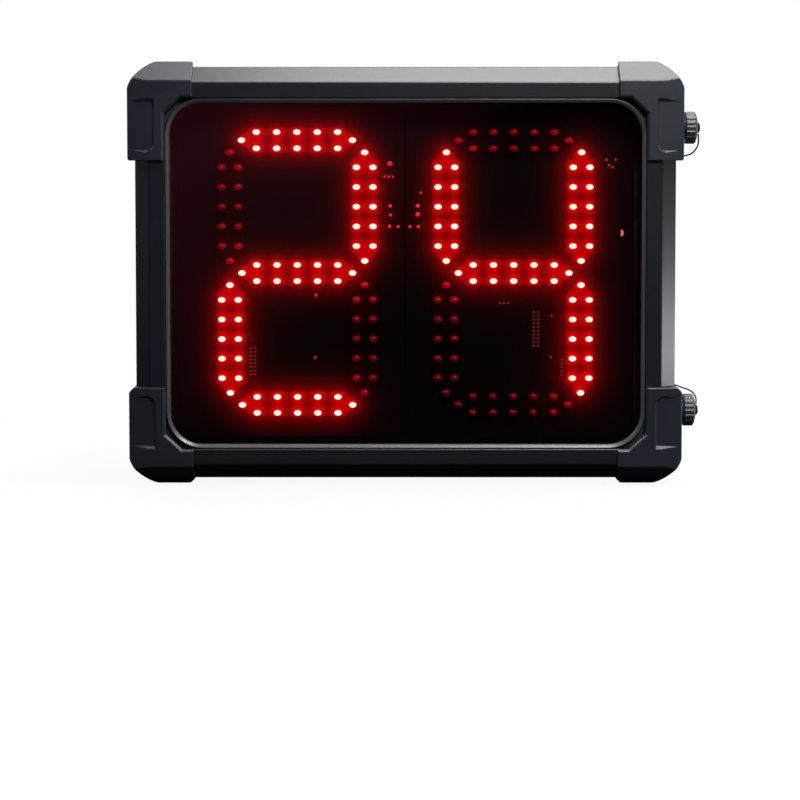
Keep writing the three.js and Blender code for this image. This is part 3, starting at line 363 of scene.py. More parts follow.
class ShotClockColours(bpy.types.PropertyGroup):
    """Colours of the visible finishes."""

    frame: colour_setting("Frame", "Powder coat on the profiles", "070b12")
    corner: colour_setting("Corner", "Moulded corner pieces", "0f161e")
    bezel: colour_setting("Bezel", "Moulded bezel round the window", "343335")
    glow: colour_setting("Glow", "Red light of the lit LEDs on what lies round them", "ff0004")
    core: colour_setting("Core", "Middle of a lit LED", "fff3e2")
    epoxy: colour_setting("Epoxy", "Diffused red epoxy of the LEDs", "d0081c")


class ShotClockStudio(bpy.types.PropertyGroup):
    """Lights of the studio."""

    overhead_power: power_setting("Overhead", "Power of the soft box overhead", 36)
    key_power: power_setting("Key", "Power of the soft lamp at the upper right", 13)
    side_power: power_setting("Side", "Power of the soft lamp at the right", 1)
    edge_power: power_setting(
        "Edges", "Power of the two small lamps that draw the lower corners' edges", 8)
    surround: colour_setting(
        "Surround", "Dim, slightly blue light from all round the studio", "3a424c")


def sizes():
    return bpy.context.scene.shot_clock_sizes


def colours():
    return bpy.context.scene.shot_clock_colours


def studio():
    return bpy.context.scene.shot_clock_studio


def at(x, level, z):
    """Points in metres in the model's frame, from x, level and z in millimetres."""
    x, level, z = np.broadcast_arrays(x, level, z)
    return np.stack([x, -np.asarray(level, float), z], -1) * MM


def extent(node):
    """Lowest and highest x, level and z of a CAD part, in millimetres."""
    low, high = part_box(node)
    return np.array([[low.x, -high.y, low.z], [high.x, -low.y, high.z]]) / MM


case_side = extent("top_right_corner")[1, 0]
window_half = extent("lens_bezel")[1, [0, 2]] - BEZEL_WIDTH - BEZEL_FLANGE
holder_back, led_tip = extent("left_segment_a")[:, 1]
holder_front = holder_back + HOLDER_THICKNESS
board_front = extent("left_digit_board")[1, 1]


def grid_faces(rows, columns, wrap_rows, wrap_columns):
    """Four-sided faces between the neighbours of a grid of points, as rows of indices."""
    i = np.arange(rows - (not wrap_rows))[:, None]
    j = np.arange(columns - (not wrap_columns))[None, :]
    k, n = (i + 1) % rows, (j + 1) % columns
    corners = [i * columns + j, i * columns + n, k * columns + n, k * columns + j]
    return np.stack(corners, -1).reshape(-1, 4).tolist()


def carried(rings, closed=False):
    """Skin over rings x points x 3, each ring a closed loop. The ends are capped, or meet if closed."""
    count, size = rings.shape[:2]
    faces = grid_faces(count, size, closed, True)
    if not closed:
        faces += [list(range(size)), list(range((count - 1) * size, count * size))]
    return rings.reshape(-1, 3), faces


def gathered(shells):
    """One set of points and faces from several."""
    points, faces, start = [], [], 0
    for some, corners in shells:
        points.append(some)
        faces += [[c + start for c in face] for face in corners]
        start += len(some)
    return np.concatenate(points), faces


def turned(profile, place, sides=48, shape=None, closed=False):
    """Carries (radius, along) points round an axis: radius times (cos t, sin t) for t from 0 to a full turn.

    shape(t, along) scales the radius, and place(a, along, b) puts a point where it belongs.
    """
    radius, along = (column[:, None] for column in np.array(profile, float).T)
    turn = np.arange(sides)[None, :] / sides * 2 * np.pi
    radius = radius * (shape(turn, along) if shape else 1)
    return carried(place(radius * np.cos(turn), along, radius * np.sin(turn)), closed)


def round_x(x, level, z):
    """Places what turns about an axis from side to side, from x outwards."""
    return lambda a, along, b: at(x + along, level + a, z + b)


def round_level(x, z, width=1, height=1):
    """Places what turns about an axis from back to front, as an oval if a width and a height are given."""
    return lambda a, along, b: at(x + a * width, along, z + b * height)


def arc(centre, radius, start, end, steps=5):
    """Points (u, v) on an arc about a centre, between two angles in degrees. An oval has a (u, v) radius."""
    angle = np.radians(np.linspace(start, end, steps + 1))
    across, up = np.broadcast_to(radius, 2)
    return list(zip(centre[0] + across * np.cos(angle), centre[1] + up * np.sin(angle)))


def rounded_rectangle(half_x, half_z, radius, steps=14):
    """Loop of (x, z) points: four quarter circles about the inner centres of a rectangle's corners."""
    angle = np.linspace(0, np.pi / 2, steps + 1)
    quarters = []
    for k, (sx, sz) in enumerate([(1, 1), (-1, 1), (-1, -1), (1, -1)]):
        centre = np.array([sx * (half_x - radius), sz * (half_z - radius)])
        direction = np.stack([np.cos(angle + k * np.pi / 2), np.sin(angle + k * np.pi / 2)], -1)
        quarters.append(centre + radius * direction)
    return np.concatenate(quarters)


def round_window(profile, half, radius, closed):
    """Carries (outset, level) points round a rectangle with round corners, grown by each point's outset."""
    rings = []
    for outset, level in profile:
        x, z = rounded_rectangle(half[0] + outset, half[1] + outset, radius + outset).T
        rings.append(at(x, level, z))
    return carried(np.array(rings), closed)


def through(points, steps):
    """A smooth curve through points: Catmull-Rom, with knots a square root of a chord apart."""
    points = np.array(points, float)
    padded = np.concatenate([[2 * points[0] - points[1]], points, [2 * points[-1] - points[-2]]])
    knots = np.cumsum([0, *np.sqrt(np.linalg.norm(np.diff(padded, axis=0), axis=1))])
    curve = []
    for i in range(1, len(padded) - 2):
        k0, k1, k2, k3 = knots[i - 1:i + 3]
        p0, p1, p2, p3 = padded[i - 1:i + 3]
        t = np.linspace(k1, k2, steps, endpoint=False)[:, None]
        a1 = ((k1 - t) * p0 + (t - k0) * p1) / (k1 - k0)
        a2 = ((k2 - t) * p1 + (t - k1) * p2) / (k2 - k1)
        a3 = ((k3 - t) * p2 + (t - k2) * p3) / (k3 - k2)
        b1 = ((k2 - t) * a1 + (t - k0) * a2) / (k2 - k0)
        b2 = ((k3 - t) * a2 + (t - k1) * a3) / (k3 - k1)
        curve.append(((k2 - t) * b1 + (t - k1) * b2) / (k2 - k1))
    return np.concatenate([*curve, points[-1:]])


def tube(path, radius, sides, shape):
    """A round tube along x, level, z points: circles square to the path, scaled by shape(turn, distance)."""
    tangent = np.gradient(path, axis=0)
    tangent /= np.linalg.norm(tangent, axis=1)[:, None]
    across = np.cross(tangent, [0, 1, 0])
    across /= np.linalg.norm(across, axis=1)[:, None]
    up = np.cross(across, tangent)
    distance = np.cumsum([0, *np.linalg.norm(np.diff(path, axis=0), axis=1)])[:, None]
    turn = np.arange(sides)[None, :] / sides * 2 * np.pi
    reach = radius * shape(turn, distance)
    rings = path[:, None] + (reach * np.cos(turn))[..., None] * across[:, None]
    rings = rings + (reach * np.sin(turn))[..., None] * up[:, None]
    return carried(at(*np.moveaxis(rings, -1, 0)))


def block(x, level, z, edge):
    """A box between two values of x, level and z with chamfered edges: loops of an eight-sided outline."""
    middle = [np.mean(x), np.mean(z)]
    half = [abs(x[1] - x[0]) / 2, abs(z[1] - z[0]) / 2]
    loops = []
    for height, inset in [(level[0], edge), (level[0] + edge, 0), (level[1] - edge, 0), (level[1], edge)]:
        h, v = half[0] - inset, half[1] - inset
        loop = [(h, v - edge), (h - edge, v), (edge - h, v), (-h, v - edge),
                (-h, edge - v), (edge - h, -v), (h - edge, -v), (h, edge - v)]
        u, w = np.array(loop).T
        loops.append(at(middle[0] + u, height, middle[1] + w))
    return carried(np.array(loops))


def closed_mesh(mesh, sharp):
    """Merges doubles, turns faces outwards and shades them smoothly up to an angle in degrees."""
    shell = bmesh.new()
    shell.from_mesh(mesh)
    bmesh.ops.remove_doubles(shell, verts=shell.verts, dist=DOUBLES * MM)
    bmesh.ops.dissolve_degenerate(shell, edges=shell.edges, dist=NO_LENGTH * MM)
    bmesh.ops.recalc_face_normals(shell, faces=shell.faces)
    shell.to_mesh(mesh)
    shell.free()
    mesh.shade_smooth()
    mesh.set_sharp_from_angle(angle=math.radians(sharp))


def placed(name, data):
    """An object in the scene, for a mesh, a lamp or a camera."""
    obj = bpy.data.objects.new(name, data)
    bpy.context.scene.collection.objects.link(obj)
    return obj


def piece(name, parts, nodes=(), body="case", sharp=35):
    """Makes a piece from (shell, finish) parts, which stands for CAD nodes and rides on a body."""
    mesh = bpy.data.meshes.new(name)
    points, faces = gathered([shell for shell, _ in parts])
    mesh.from_pydata(points.tolist(), [], faces)
    indices = np.repeat(np.arange(len(parts)), [len(shell[1]) for shell, _ in parts])
    mesh.polygons.foreach_set("material_index", indices.astype(np.int32))
    for _, key in parts:
        mesh.materials.append(finish(key))
    closed_mesh(mesh, sharp)
    obj = placed(name, mesh)
    if nodes:
        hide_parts(*nodes)
    if body:
        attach(obj, body)
    return obj


def tapered(shell, side):
    """Cuts a corner piece's arm end back behind its bevel by a moulding draft, and closes the cut."""
    cut = bmesh.ops.bisect_plane(
        shell, geom=[*shell.verts, *shell.edges, *shell.faces],
        plane_co=(side * CORNER_ARM_END * MM, -DRAFT_FROM * MM, 0), plane_no=(-side, DRAFT, 0),
        dist=MERGE * MM, clear_outer=True)
    edges = [e for e in cut["geom_cut"] if isinstance(e, bmesh.types.BMEdge) and e.is_boundary]
    bmesh.ops.triangle_fill(shell, edges=edges, use_beauty=True, use_dissolve=True)


def softened(node, name, slot, radius, weld=MERGE, draft_side=0):
    """A copy of a CAD part with its flat faces merged whole and its edges rounded by a bevel.

    An edge is rounded by the radius, or by a share of the shortest edge that meets it where that is less.
    Points nearer than weld are made one first, and the arm end at draft_side, -1 for left or 1 for right, is
    cut back.
    """
    shell = bmesh.new()
    shell.from_mesh(frame["nodes"][node].data)
    bmesh.ops.remove_doubles(shell, verts=shell.verts, dist=MERGE * MM)
    if draft_side:
        tapered(shell, draft_side)
    bmesh.ops.dissolve_limit(
        shell, angle_limit=math.radians(FLAT_ANGLE), verts=shell.verts, edges=shell.edges)
    bmesh.ops.remove_doubles(shell, verts=shell.verts, dist=weld * MM)
    bmesh.ops.recalc_face_normals(shell, faces=shell.faces)
    weights = shell.edges.layers.float.new("bevel_weight_edge")
    for edge in shell.edges:
        if edge.calc_face_angle(0) > math.radians(BEVEL_ANGLE):
            met = [other.calc_length() for end in edge.verts for other in end.link_edges if other is not edge]
            edge[weights] = min(1, BEVEL_SHARE * min(met) / radius)
    mesh = bpy.data.meshes.new(name)
    shell.to_mesh(mesh)
    shell.free()
    for attribute in [a for a in mesh.attributes if a.name == "custom_normal"]:
        mesh.attributes.remove(attribute)
    mesh.shade_smooth()
    mesh.materials.append(finish(slot))
    obj = placed(name, mesh)
    bevel = obj.modifiers.new("Edges", "BEVEL")
    bevel.width = radius
    bevel.segments = BEVEL_SEGMENTS
    bevel.limit_method = "WEIGHT"
    bevel.harden_normals = True
    bevel.use_clamp_overlap = False
    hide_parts(node)
    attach(obj, "case")


def spread(obj, name, values):
    """Stores one number for each point of a mesh, for its material to read."""
    attribute = obj.data.attributes.new(name, "FLOAT", "POINT")
    attribute.data.foreach_set("value", np.asarray(values, np.float32))


def front_points(obj):
    """The (x, z) places of a mesh's points, in millimetres."""
    points = np.empty(len(obj.data.vertices) * 3, np.float32)
    obj.data.vertices.foreach_get("co", points)
    return points.reshape(-1, 3)[:, [0, 2]] / MM


def segment_leds(level):
    """Places of a segment's LEDs from its middle: two rows of pairs and one at each end."""
    pitch, gap = (LEVEL_PITCH, ROW_GAP) if level else (UPRIGHT_PITCH, COLUMN_GAP)
    along = (np.arange(LED_PAIRS) - (LED_PAIRS - 1) / 2) * pitch
    end = along[-1] + LED_END_STEP
    places = [(-end, 0), (end, 0), *((s, side * gap / 2) for s in along for side in (1, -1))]
    return np.array(places) if level else np.array(places)[:, ::-1]


def segment_middle(side, letter):
    """Middle of a segment in x and z, from the digit's size."""
    runs = [(LED_PAIRS - 1) / 2 * pitch + LED_END_STEP + LED_CORNER_STEP
            for pitch in (LEVEL_PITCH, UPRIGHT_PITCH)]
    half_width, quarter_height = runs
    offset = half_width + DIGIT_GAP / 2
    across, up = {"a": (0, 2), "b": (1, 1), "c": (1, -1), "d": (0, -2), "e": (-1, -1), "f": (-1, 1),
                  "g": (0, 0)}[letter]
    middle = -offset if side == "left" else offset
    return np.array([middle + across * half_width, up * quarter_height])


def lit_places():
    """Places of all lit LEDs."""
    return np.concatenate([
        segment_middle(side, letter) + segment_leds(letter in LEVEL_SEGMENTS)
        for side, letters in LIT_SEGMENTS.items() for letter in letters
    ])


def spilled_light(points, kind="board"):
    """Light that the lit LEDs spill on a place: shares times Gaussians of its distances to them, summed."""
    square = ((points[:, None] - lit_places()) ** 2).sum(-1)
    return sum(share * np.exp(-square / (2 * reach ** 2)).sum(1) for reach, share in SPILL[kind])


def feed(tree, node, inputs):
    """Gives a node's inputs their values, or links them to a socket or to another node's first output."""
    for name, value in inputs.items():
        if isinstance(value, bpy.types.Node):
            value = value.outputs[0]
        if isinstance(value, bpy.types.NodeSocket):
            tree.links.new(value, node.inputs[name])
        else:
            node.inputs[name].default_value = value


def add(tree, kind, inputs=None, stops=(), **settings):
    """Adds a shader node with its settings, inputs and, for a colour ramp, its (position, colour) stops."""
    node = tree.nodes.new("ShaderNode" + kind)
    for name, value in settings.items():
        setattr(node, name, value)
    feed(tree, node, inputs or {})
    for number, (position, colour) in enumerate(stops):
        node.color_ramp.elements[number].position = position
        node.color_ramp.elements[number].color = colour
    return node


def principled(name, **values):
    """A material whose Principled shader has constant values. Gives it, its tree, shader and coordinates."""
    material = bpy.data.materials.new(name)
    material.use_nodes = True
    tree = material.node_tree
    shader = tree.nodes["Principled BSDF"]
    for key, value in values.items():
        shader.inputs[key.replace("_", " ")].default_value = value
    place = add(tree, "TexCoord").outputs["Object"]
    return material, tree, shader, place


def shaded(colour, share):
    """A colour made lighter or darker by a share."""
    return (*(min(1, c * share) for c in colour[:3]), 1)


def coated(name, colour, rough, grain, depth, wear, **values):
    """A surface with broad shade changes, a fine grain of that many millimetres and paler worn edges."""
    material, tree, shader, place = principled(name, **values)
    broad = add(tree, "TexNoise", {"Vector": place, "Scale": per(SHADE_SIZE), "Detail": 3.0})
    fine = add(tree, "TexNoise", {"Vector": place, "Scale": per(grain), "Detail": 4.0, "Roughness": 0.6})
    shades = add(tree, "ValToRGB", {"Fac": broad}, [(0.3, shaded(colour, 0.86)), (0.7, shaded(colour, 1.14))])
    edge = add(tree, "NewGeometry").outputs["Pointiness"]
    worn = add(tree, "MapRange", {"Value": edge, "From Min": 0.53, "From Max": 0.6, "To Max": wear})
    patchy = add(tree, "Math", {0: worn, 1: broad}, operation="MULTIPLY")
    mixed = add(tree, "Mix", {"Factor": patchy, "A": shades, "B": shaded(colour, WORN_SHARE)},
                data_type="RGBA")
    uneven = add(tree, "MapRange", {"Value": fine, "From Min": 0.3, "From Max": 0.7,
                                    "To Min": rough - 0.05, "To Max": rough + 0.06})
    bump = add(tree, "Bump", {"Height": fine, "Strength": depth, "Distance": 0.05 * MM})
    feed(tree, shader, {"Base Color": mixed.outputs["Result"], "Roughness": uneven, "Normal": bump})
    return material


def satin_powder_coat():
    # Polyester powder on extruded aluminium: a satin, faintly blue black with fine orange peel, 0.7 mm across
    return coated("satin_powder_coat", tuple(colours().frame), 0.36, 0.7, 0.35, 0.5,
                  IOR=1.5, Specular_IOR_Level=0.45)


def moulded_abs():
    # ABS moulded against a spark-eroded tool: matt, with a grain drawn at 0.5 mm so that it shows
    return coated("moulded_abs", tuple(colours().corner), 0.42, 0.5, 0.5, 0.35,
                  IOR=1.54, Specular_IOR_Level=0.42)


def bezel_abs():
    # ABS moulded against a polished tool: a smooth lip that takes a soft highlight
    return coated("bezel_abs", tuple(colours().bezel), 0.34, 0.6, 0.15, 0.3,
                  IOR=1.54, Specular_IOR_Level=0.5)


def textured_paint():
    # Wrinkle paint on pressed steel: matt black with a leathery texture, 1.1 mm across
    return coated("textured_paint", linear("191b1e"), 0.55, 1.1, 0.9, 0.3, IOR=1.5, Specular_IOR_Level=0.4)


def moulded_nylon():
    # Glass-filled nylon, moulded: dark grey, slightly mottled, with a silky sheen
    return coated("moulded_nylon", linear("242529"), 0.46, 0.45, 0.3, 0.4, IOR=1.53, Specular_IOR_Level=0.5)


def black_rubber():
    # Moulded nitrile rubber: matt black, dusty
    return coated("black_rubber", linear("151516"), 0.78, 0.8, 0.4, 0.1, IOR=1.52, Specular_IOR_Level=0.3)


def pvc_sheath():
    # Extruded PVC: black with a waxy sheen
    return coated("pvc_sheath", linear("17181a"), 0.48, 0.5, 0.2, 0.1, IOR=1.53, Specular_IOR_Level=0.4)


def smoked_acrylic():
    # Cast acrylic, smoked deep red, polished: it lets about half of the light through and scatters a little,
    # and that scattered light is painted on as a red glow
    material, tree, shader, place = principled(
        "smoked_acrylic", Base_Color=linear("050001"), IOR=1.49, Alpha=0.42, Specular_IOR_Level=0.07,
        Emission_Color=linear("ff6480"))
    aside = add(tree, "VectorMath", {0: place, 1: (1, 0, -1)}, operation="DOT_PRODUCT").outputs["Value"]
    # Painted glow: red emission, strongest at the upper left, standing in for light scattered in the acrylic
    painted_glow = add(tree, "MapRange", {"Value": aside, "From Min": PAINTED_GLOW_SPAN[0] * MM,
                                  "From Max": PAINTED_GLOW_SPAN[1] * MM, "To Min": PAINTED_GLOW, "To Max": 0})
    film = add(tree, "TexNoise", {"Vector": place, "Scale": per(55), "Detail": 2.0})
    rough = add(tree, "MapRange", {"Value": film, "To Min": 0.05, "To Max": 0.11})
    feed(tree, shader, {"Emission Strength": painted_glow, "Roughness": rough})
    return material


def glowing(name, colour, rough, strength, **values):
    """A slightly mottled surface that carries the LEDs' red light, by the attribute spill."""
    material, tree, shader, place = principled(
        name, Roughness=rough, Emission_Color=tuple(colours().glow), **values)
    fine = add(tree, "TexNoise", {"Vector": place, "Scale": per(1.4), "Detail": 3.0})
    shades = add(tree, "ValToRGB", {"Fac": fine}, [(0.3, shaded(colour, 0.75)), (0.7, shaded(colour, 1.25))])
    uneven = add(tree, "MapRange", {"Value": fine, "To Min": 0.8 * strength, "To Max": 1.2 * strength})
    spill = add(tree, "Attribute", attribute_name="spill").outputs["Fac"]
    light = add(tree, "Math", {0: spill, 1: uneven}, operation="MULTIPLY")
    feed(tree, shader, {"Base Color": shades, "Emission Strength": light})
    return material


def black_solder_mask():
    # Black epoxy solder mask on a glass-fibre board: satin, and red where the LEDs beside it shine on it
    return glowing("black_solder_mask", linear("050303"), 0.5, 0.6, Specular_IOR_Level=0.2)


def holder_plastic():
    # Black moulded holder round the LEDs, which scatters their red light between them
    return glowing("holder_plastic", linear("060304"), 0.6, 1.45, Specular_IOR_Level=0.12)


def tinned_pins():
    # Tinned brass pins and solder: pale and dull, lit red by the LEDs
    return glowing("tinned_pins", linear("8a8480"), 0.6, 3.0, Metallic=0.9)


def chip_resin():
    # Black moulded resin of the pin strips' bodies: matt, nearly as dark as the board
    return glowing("chip_resin", linear("141315"), 0.55, 0.4)


def unlit_epoxy():
    # Diffused red epoxy, not lit: a dull red that takes some light from its neighbours
    material, tree, shader, place = principled(
        "unlit_epoxy", Base_Color=tuple(colours().epoxy), IOR=1.53, Roughness=0.3,
        Emission_Color=linear("c80014"))
    fine = add(tree, "TexNoise", {"Vector": place, "Scale": per(9), "Detail": 1.0})
    uneven = add(tree, "MapRange", {"Value": fine, "From Min": 0.35, "From Max": 0.65,
                                    "To Min": 0.85, "To Max": 1.15})
    caught = add(tree, "Attribute", attribute_name="caught").outputs["Fac"]
    light = add(tree, "Math", {0: caught, 1: uneven}, operation="MULTIPLY")
    feed(tree, shader, {"Emission Strength": light})
    return material


def receiver_epoxy():
    # Infrared-clear epoxy: nearly black, with the LEDs' light caught on one side
    material, tree, shader, _ = principled(
        "receiver_epoxy", Base_Color=linear("12060a"), IOR=1.53, Roughness=0.15,
        Emission_Color=linear("ff6a66"))
    glint = add(tree, "Attribute", attribute_name="glint").outputs["Fac"]
    feed(tree, shader, {"Emission Strength": add(tree, "Math", {0: glint, 1: GLINT}, operation="MULTIPLY")})
    return material


def lit_epoxy():
    # Diffused red epoxy, lit: the middle burns out to a warm white inside a saturated red rim
    material, tree, shader, _ = principled(
        "lit_epoxy", Base_Color=tuple(colours().epoxy), IOR=1.53, Roughness=0.3)
    core = add(tree, "Attribute", attribute_name="core").outputs["Fac"]
    stops = [(WHITE_FROM, tuple(colours().glow)), (WHITE_FULL, tuple(colours().core))]
    shades = add(tree, "ValToRGB", {"Fac": core}, stops)
    light = add(tree, "MapRange", {"Value": core, "From Min": WHITE_FROM, "From Max": LIGHT_FULL,
                                   "To Min": RIM_LIGHT, "To Max": CORE_LIGHT})
    feed(tree, shader, {"Emission Color": shades, "Emission Strength": light})
    return material


def green_solder_mask():
    # Green epoxy solder mask over copper runs, drawn as faint lines 7 mm long and 2.5 mm apart
    material, tree, shader, place = principled("green_solder_mask", Roughness=0.35, IOR=1.5)
    runs = add(tree, "TexBrick", {"Vector": place, "Scale": per(100), "Mortar Size": 0.006,
                                  "Brick Width": 0.07, "Row Height": 0.025,
                                  "Color1": linear("14432a"), "Color2": linear("123d26"),
                                  "Mortar": linear("2f6a3c")})
    feed(tree, shader, {"Base Color": runs})
    return material


def metal(name, colour, rough, grain, stretch):
    """A bare metal whose grain is stretched along x by that many times."""
    material, tree, shader, place = principled(name, Metallic=1.0)
    moved = add(tree, "Mapping", {"Vector": place, "Scale": (1 / stretch, 1, 1)})
    lines = add(tree, "TexNoise", {"Vector": moved, "Scale": per(grain), "Detail": 4.0})
    shades = add(tree, "ValToRGB", {"Fac": lines}, [(0.3, shaded(colour, 0.8)), (0.7, shaded(colour, 1.15))])
    uneven = add(tree, "MapRange", {"Value": lines, "To Min": rough - 0.1, "To Max": rough + 0.12})
    bump = add(tree, "Bump", {"Height": lines, "Strength": 0.2, "Distance": 0.02 * MM})
    feed(tree, shader, {"Base Color": shades, "Roughness": uneven, "Normal": bump})
    return material


def galvanised_sheet():
    # Hot-dipped steel sheet: pale grey with a soft spangle, 6 mm across
    return metal("galvanised_sheet", linear("a9adb1"), 0.42, 6, 1.5)


def zinc_plate():
    # Zinc plate on turned steel: bright, slightly blue, with fine marks 0.3 mm wide
    return metal("zinc_plate", linear("b4b8bd"), 0.3, 0.3, 4)


def braided_wire():
    # Stainless wire, blackened: nearly black, with a thin sheen
    return metal("braided_wire", linear("2b2c30"), 0.38, 0.3, 1)


def ribbon_pvc():
    # Grey PVC ribbon: matt, with a darker line between each two wires
    material, tree, shader, place = principled("ribbon_pvc", Roughness=0.5, IOR=1.53)
    aside = add(tree, "SeparateXYZ", {"Vector": place}).outputs["X"]
    turn = 2 * math.pi * per(RIBBON_WIDTH / RIBBON_WIRES)
    lines = add(tree, "Math", {0: aside, 1: turn}, operation="MULTIPLY")
    wave = add(tree, "Math", {0: lines}, operation="SINE")
    shades = add(tree, "ValToRGB", {"Fac": wave}, [(0.0, linear("8d8d8b")), (0.8, linear("6c6c6b"))])
    feed(tree, shader, {"Base Color": shades})
    return material


FINISHES = {
    "frame_profile": satin_powder_coat, "corner_moulding": moulded_abs, "bezel": bezel_abs,
    "window": smoked_acrylic, "rubber_seal": black_rubber, "digit_board": black_solder_mask,
    "control_board": green_solder_mask, "steel_sheet": galvanised_sheet, "rear_panel": textured_paint,
    "zinc_screw": zinc_plate, "black_nylon": moulded_nylon, "lead_sheath": pvc_sheath,
    "ribbon": ribbon_pvc, "lit": lit_epoxy, "unlit": unlit_epoxy, "holder": holder_plastic,
    "pins": tinned_pins, "resin": chip_resin, "wire": braided_wire, "receiver": receiver_epoxy,
}


def finish(key):
    """The material for a slot or a detail, made when it is first asked for."""
    make = FINISHES[key]
    return bpy.data.materials.get(make.__name__) or make()


def dressed(node, key):
    """Gives a CAD part that keeps its own shape its material."""
    materials = frame["nodes"][node].data.materials
    materials.clear()
    materials.append(finish(key))


def round_part(node):
    """Middle x and z, radius, back and front of a CAD part that is round as seen from the front."""
    (left, back, low), (right, front, high) = extent(node)
    return (left + right) / 2, (low + high) / 2, (right - left) / 2, back, front


def make_bezel():
    """Carries a lip round the window, with a slope towards it between two rounds, and a flat flange in black
    rubber as painted shade for the gaps beside the corners.
    """
    low, high = extent("lens_bezel")[:, 1]
    inner = arc((BEZEL_ROUND, high - BEZEL_CROWN), BEZEL_ROUND, 180, BEZEL_SLOPE, 4)
    outer = arc((BEZEL_WIDTH - BEZEL_ROUND, high - BEZEL_ROUND), BEZEL_ROUND, BEZEL_SLOPE, 0, 8)
    flange = low + BEZEL_FLANGE_THICKNESS
    reach = BEZEL_WIDTH + BEZEL_FLANGE
    lip = [(0, low), *inner, *outer, (BEZEL_WIDTH, low)]
    # The flange takes the black rubber finish so that the gaps between the corners and the lip look shaded:
    # painted shade
    rim = [(BEZEL_WIDTH, low), (BEZEL_WIDTH, flange), (reach, flange), (reach, low)]
    shells = [round_window(profile, window_half, WINDOW_ROUND, True) for profile in (lip, rim)]
    piece("bezel_lip", [(shells[0], "bezel"), (shells[1], "rubber_seal")], ["lens_bezel"])


def make_lens():
    """Stacks rounded rectangles into a pane with softened edges."""
    (left, back, low), (right, front, high) = extent("lens")
    half = np.array([right - left, high - low]) / 2
    radius = WINDOW_ROUND + half[0] - window_half[0]
    profile = [(-LENS_EDGE, back), (0, back + LENS_EDGE), (0, front - LENS_EDGE), (-LENS_EDGE, front)]
    piece("lens_pane", [(round_window(profile, half, radius, False), "window")], ["lens"])


def holder_shell(level, middle):
    """A segment's holder, as rings across it: points along its flat top, up to a half width that falls by one
    for each millimetre towards a pointed end, and two at its back."""
    half, gap = (LED_HALF_HEIGHT, ROW_GAP) if level else (LED_HALF_WIDTH, COLUMN_GAP)
    length = abs(segment_leds(level)).max() + half + HOLDER_MARGIN
    width = gap / 2 + half + HOLDER_MARGIN
    along = np.linspace(HOLDER_TIP - length, length - HOLDER_TIP, HOLDER_RINGS)[:, None]
    reach = np.minimum(width, length - abs(along))
    across = np.concatenate([reach * np.linspace(-1, 1, HOLDER_POINTS), reach, -reach], 1)
    height = np.array([holder_front] * HOLDER_POINTS + [holder_back] * 2)[None, :]
    run = np.broadcast_to(along, across.shape)
    u, v = (run, across) if level else (across, run)
    return carried(at(middle[0] + u, height, middle[1] + v))


def led_shells(places):
    """LEDs as oval posts under domes: half axes shrink by the cosine as the height grows by the sine."""
    shoulder = led_tip - LED_DOME
    dome = arc((0, shoulder), (1, LED_DOME), 20, 90, 4)
    profile = [(1, holder_front - HOLDER_THICKNESS / 2), (1, shoulder), *dome]
    ovals = [round_level(x, z, LED_HALF_WIDTH, LED_HALF_HEIGHT) for x, z in places]
    return gathered([turned(profile, oval, 12) for oval in ovals])


def make_segment(side, letter):
    """One segment: its holder and its twelve LEDs, lit or not."""
    level = letter in LEVEL_SEGMENTS
    middle = segment_middle(side, letter)
    places = middle + segment_leds(level)
    lit = letter in LIT_SEGMENTS[side]
    parts = [(holder_shell(level, middle), "holder"), (led_shells(places), "lit" if lit else "unlit")]
    node = f"{side}_segment_{letter}"
    obj = piece(f"{node}_leds", parts, [node], sharp=50)
    points = front_points(obj)
    spread(obj, "spill", spilled_light(points, "holder"))
    if lit:
        half = np.array([LED_HALF_WIDTH, LED_HALF_HEIGHT])
        nearest = np.linalg.norm((points[:, None] - places) / half, axis=-1).min(1)
        spread(obj, "core", np.clip(1 - nearest, 0, 1))
    else:
        spread(obj, "caught", UNLIT_LIGHT + UNLIT_RISE * points[:, 1] + spilled_light(points, "unlit"))


def make_board(side):
    """A digit board: a grid over its front face, closed by its edges and its back."""
    node = f"{side}_digit_board"
    (left, back, low), (right, front, high) = extent(node)
    step = sizes().board_step / MM
    xs = np.linspace(left, right, int((right - left) / step))
    zs = np.linspace(low, high, int((high - low) / step))
    x = np.concatenate([xs, [right, left]])[None, :]
    level = np.concatenate([np.full(len(xs), front), [back, back]])[None, :]
    rings = at(np.broadcast_to(x, (len(zs), x.shape[1])), level, zs[:, None])
    obj = piece(f"{node}_front", [(carried(rings), "digit_board")], [node])
    spread(obj, "spill", spilled_light(front_points(obj)))


def strip_shells(columns, middle, pins):
    """A pin strip's body, and the pins' heads that stand out of it."""
    reach = (pins - 1) / 2 * PIN_PITCH
    top = board_front + STRIP_HEIGHT
    body = block([columns[0] - STRIP_MARGIN, columns[-1] + STRIP_MARGIN], [board_front + STRIP_GAP, top],
                 [middle - reach - STRIP_MARGIN, middle + reach + STRIP_MARGIN], STRIP_EDGE)
    wide, high = PIN_HALF
    level = [board_front + PIN_FOOT, top + PIN_RISE]
    heads = [block([x - wide, x + wide], level, [z - high, z + high], PIN_EDGE)
             for x in columns for z in np.linspace(middle - reach, middle + reach, pins)]
    return body, gathered(heads)


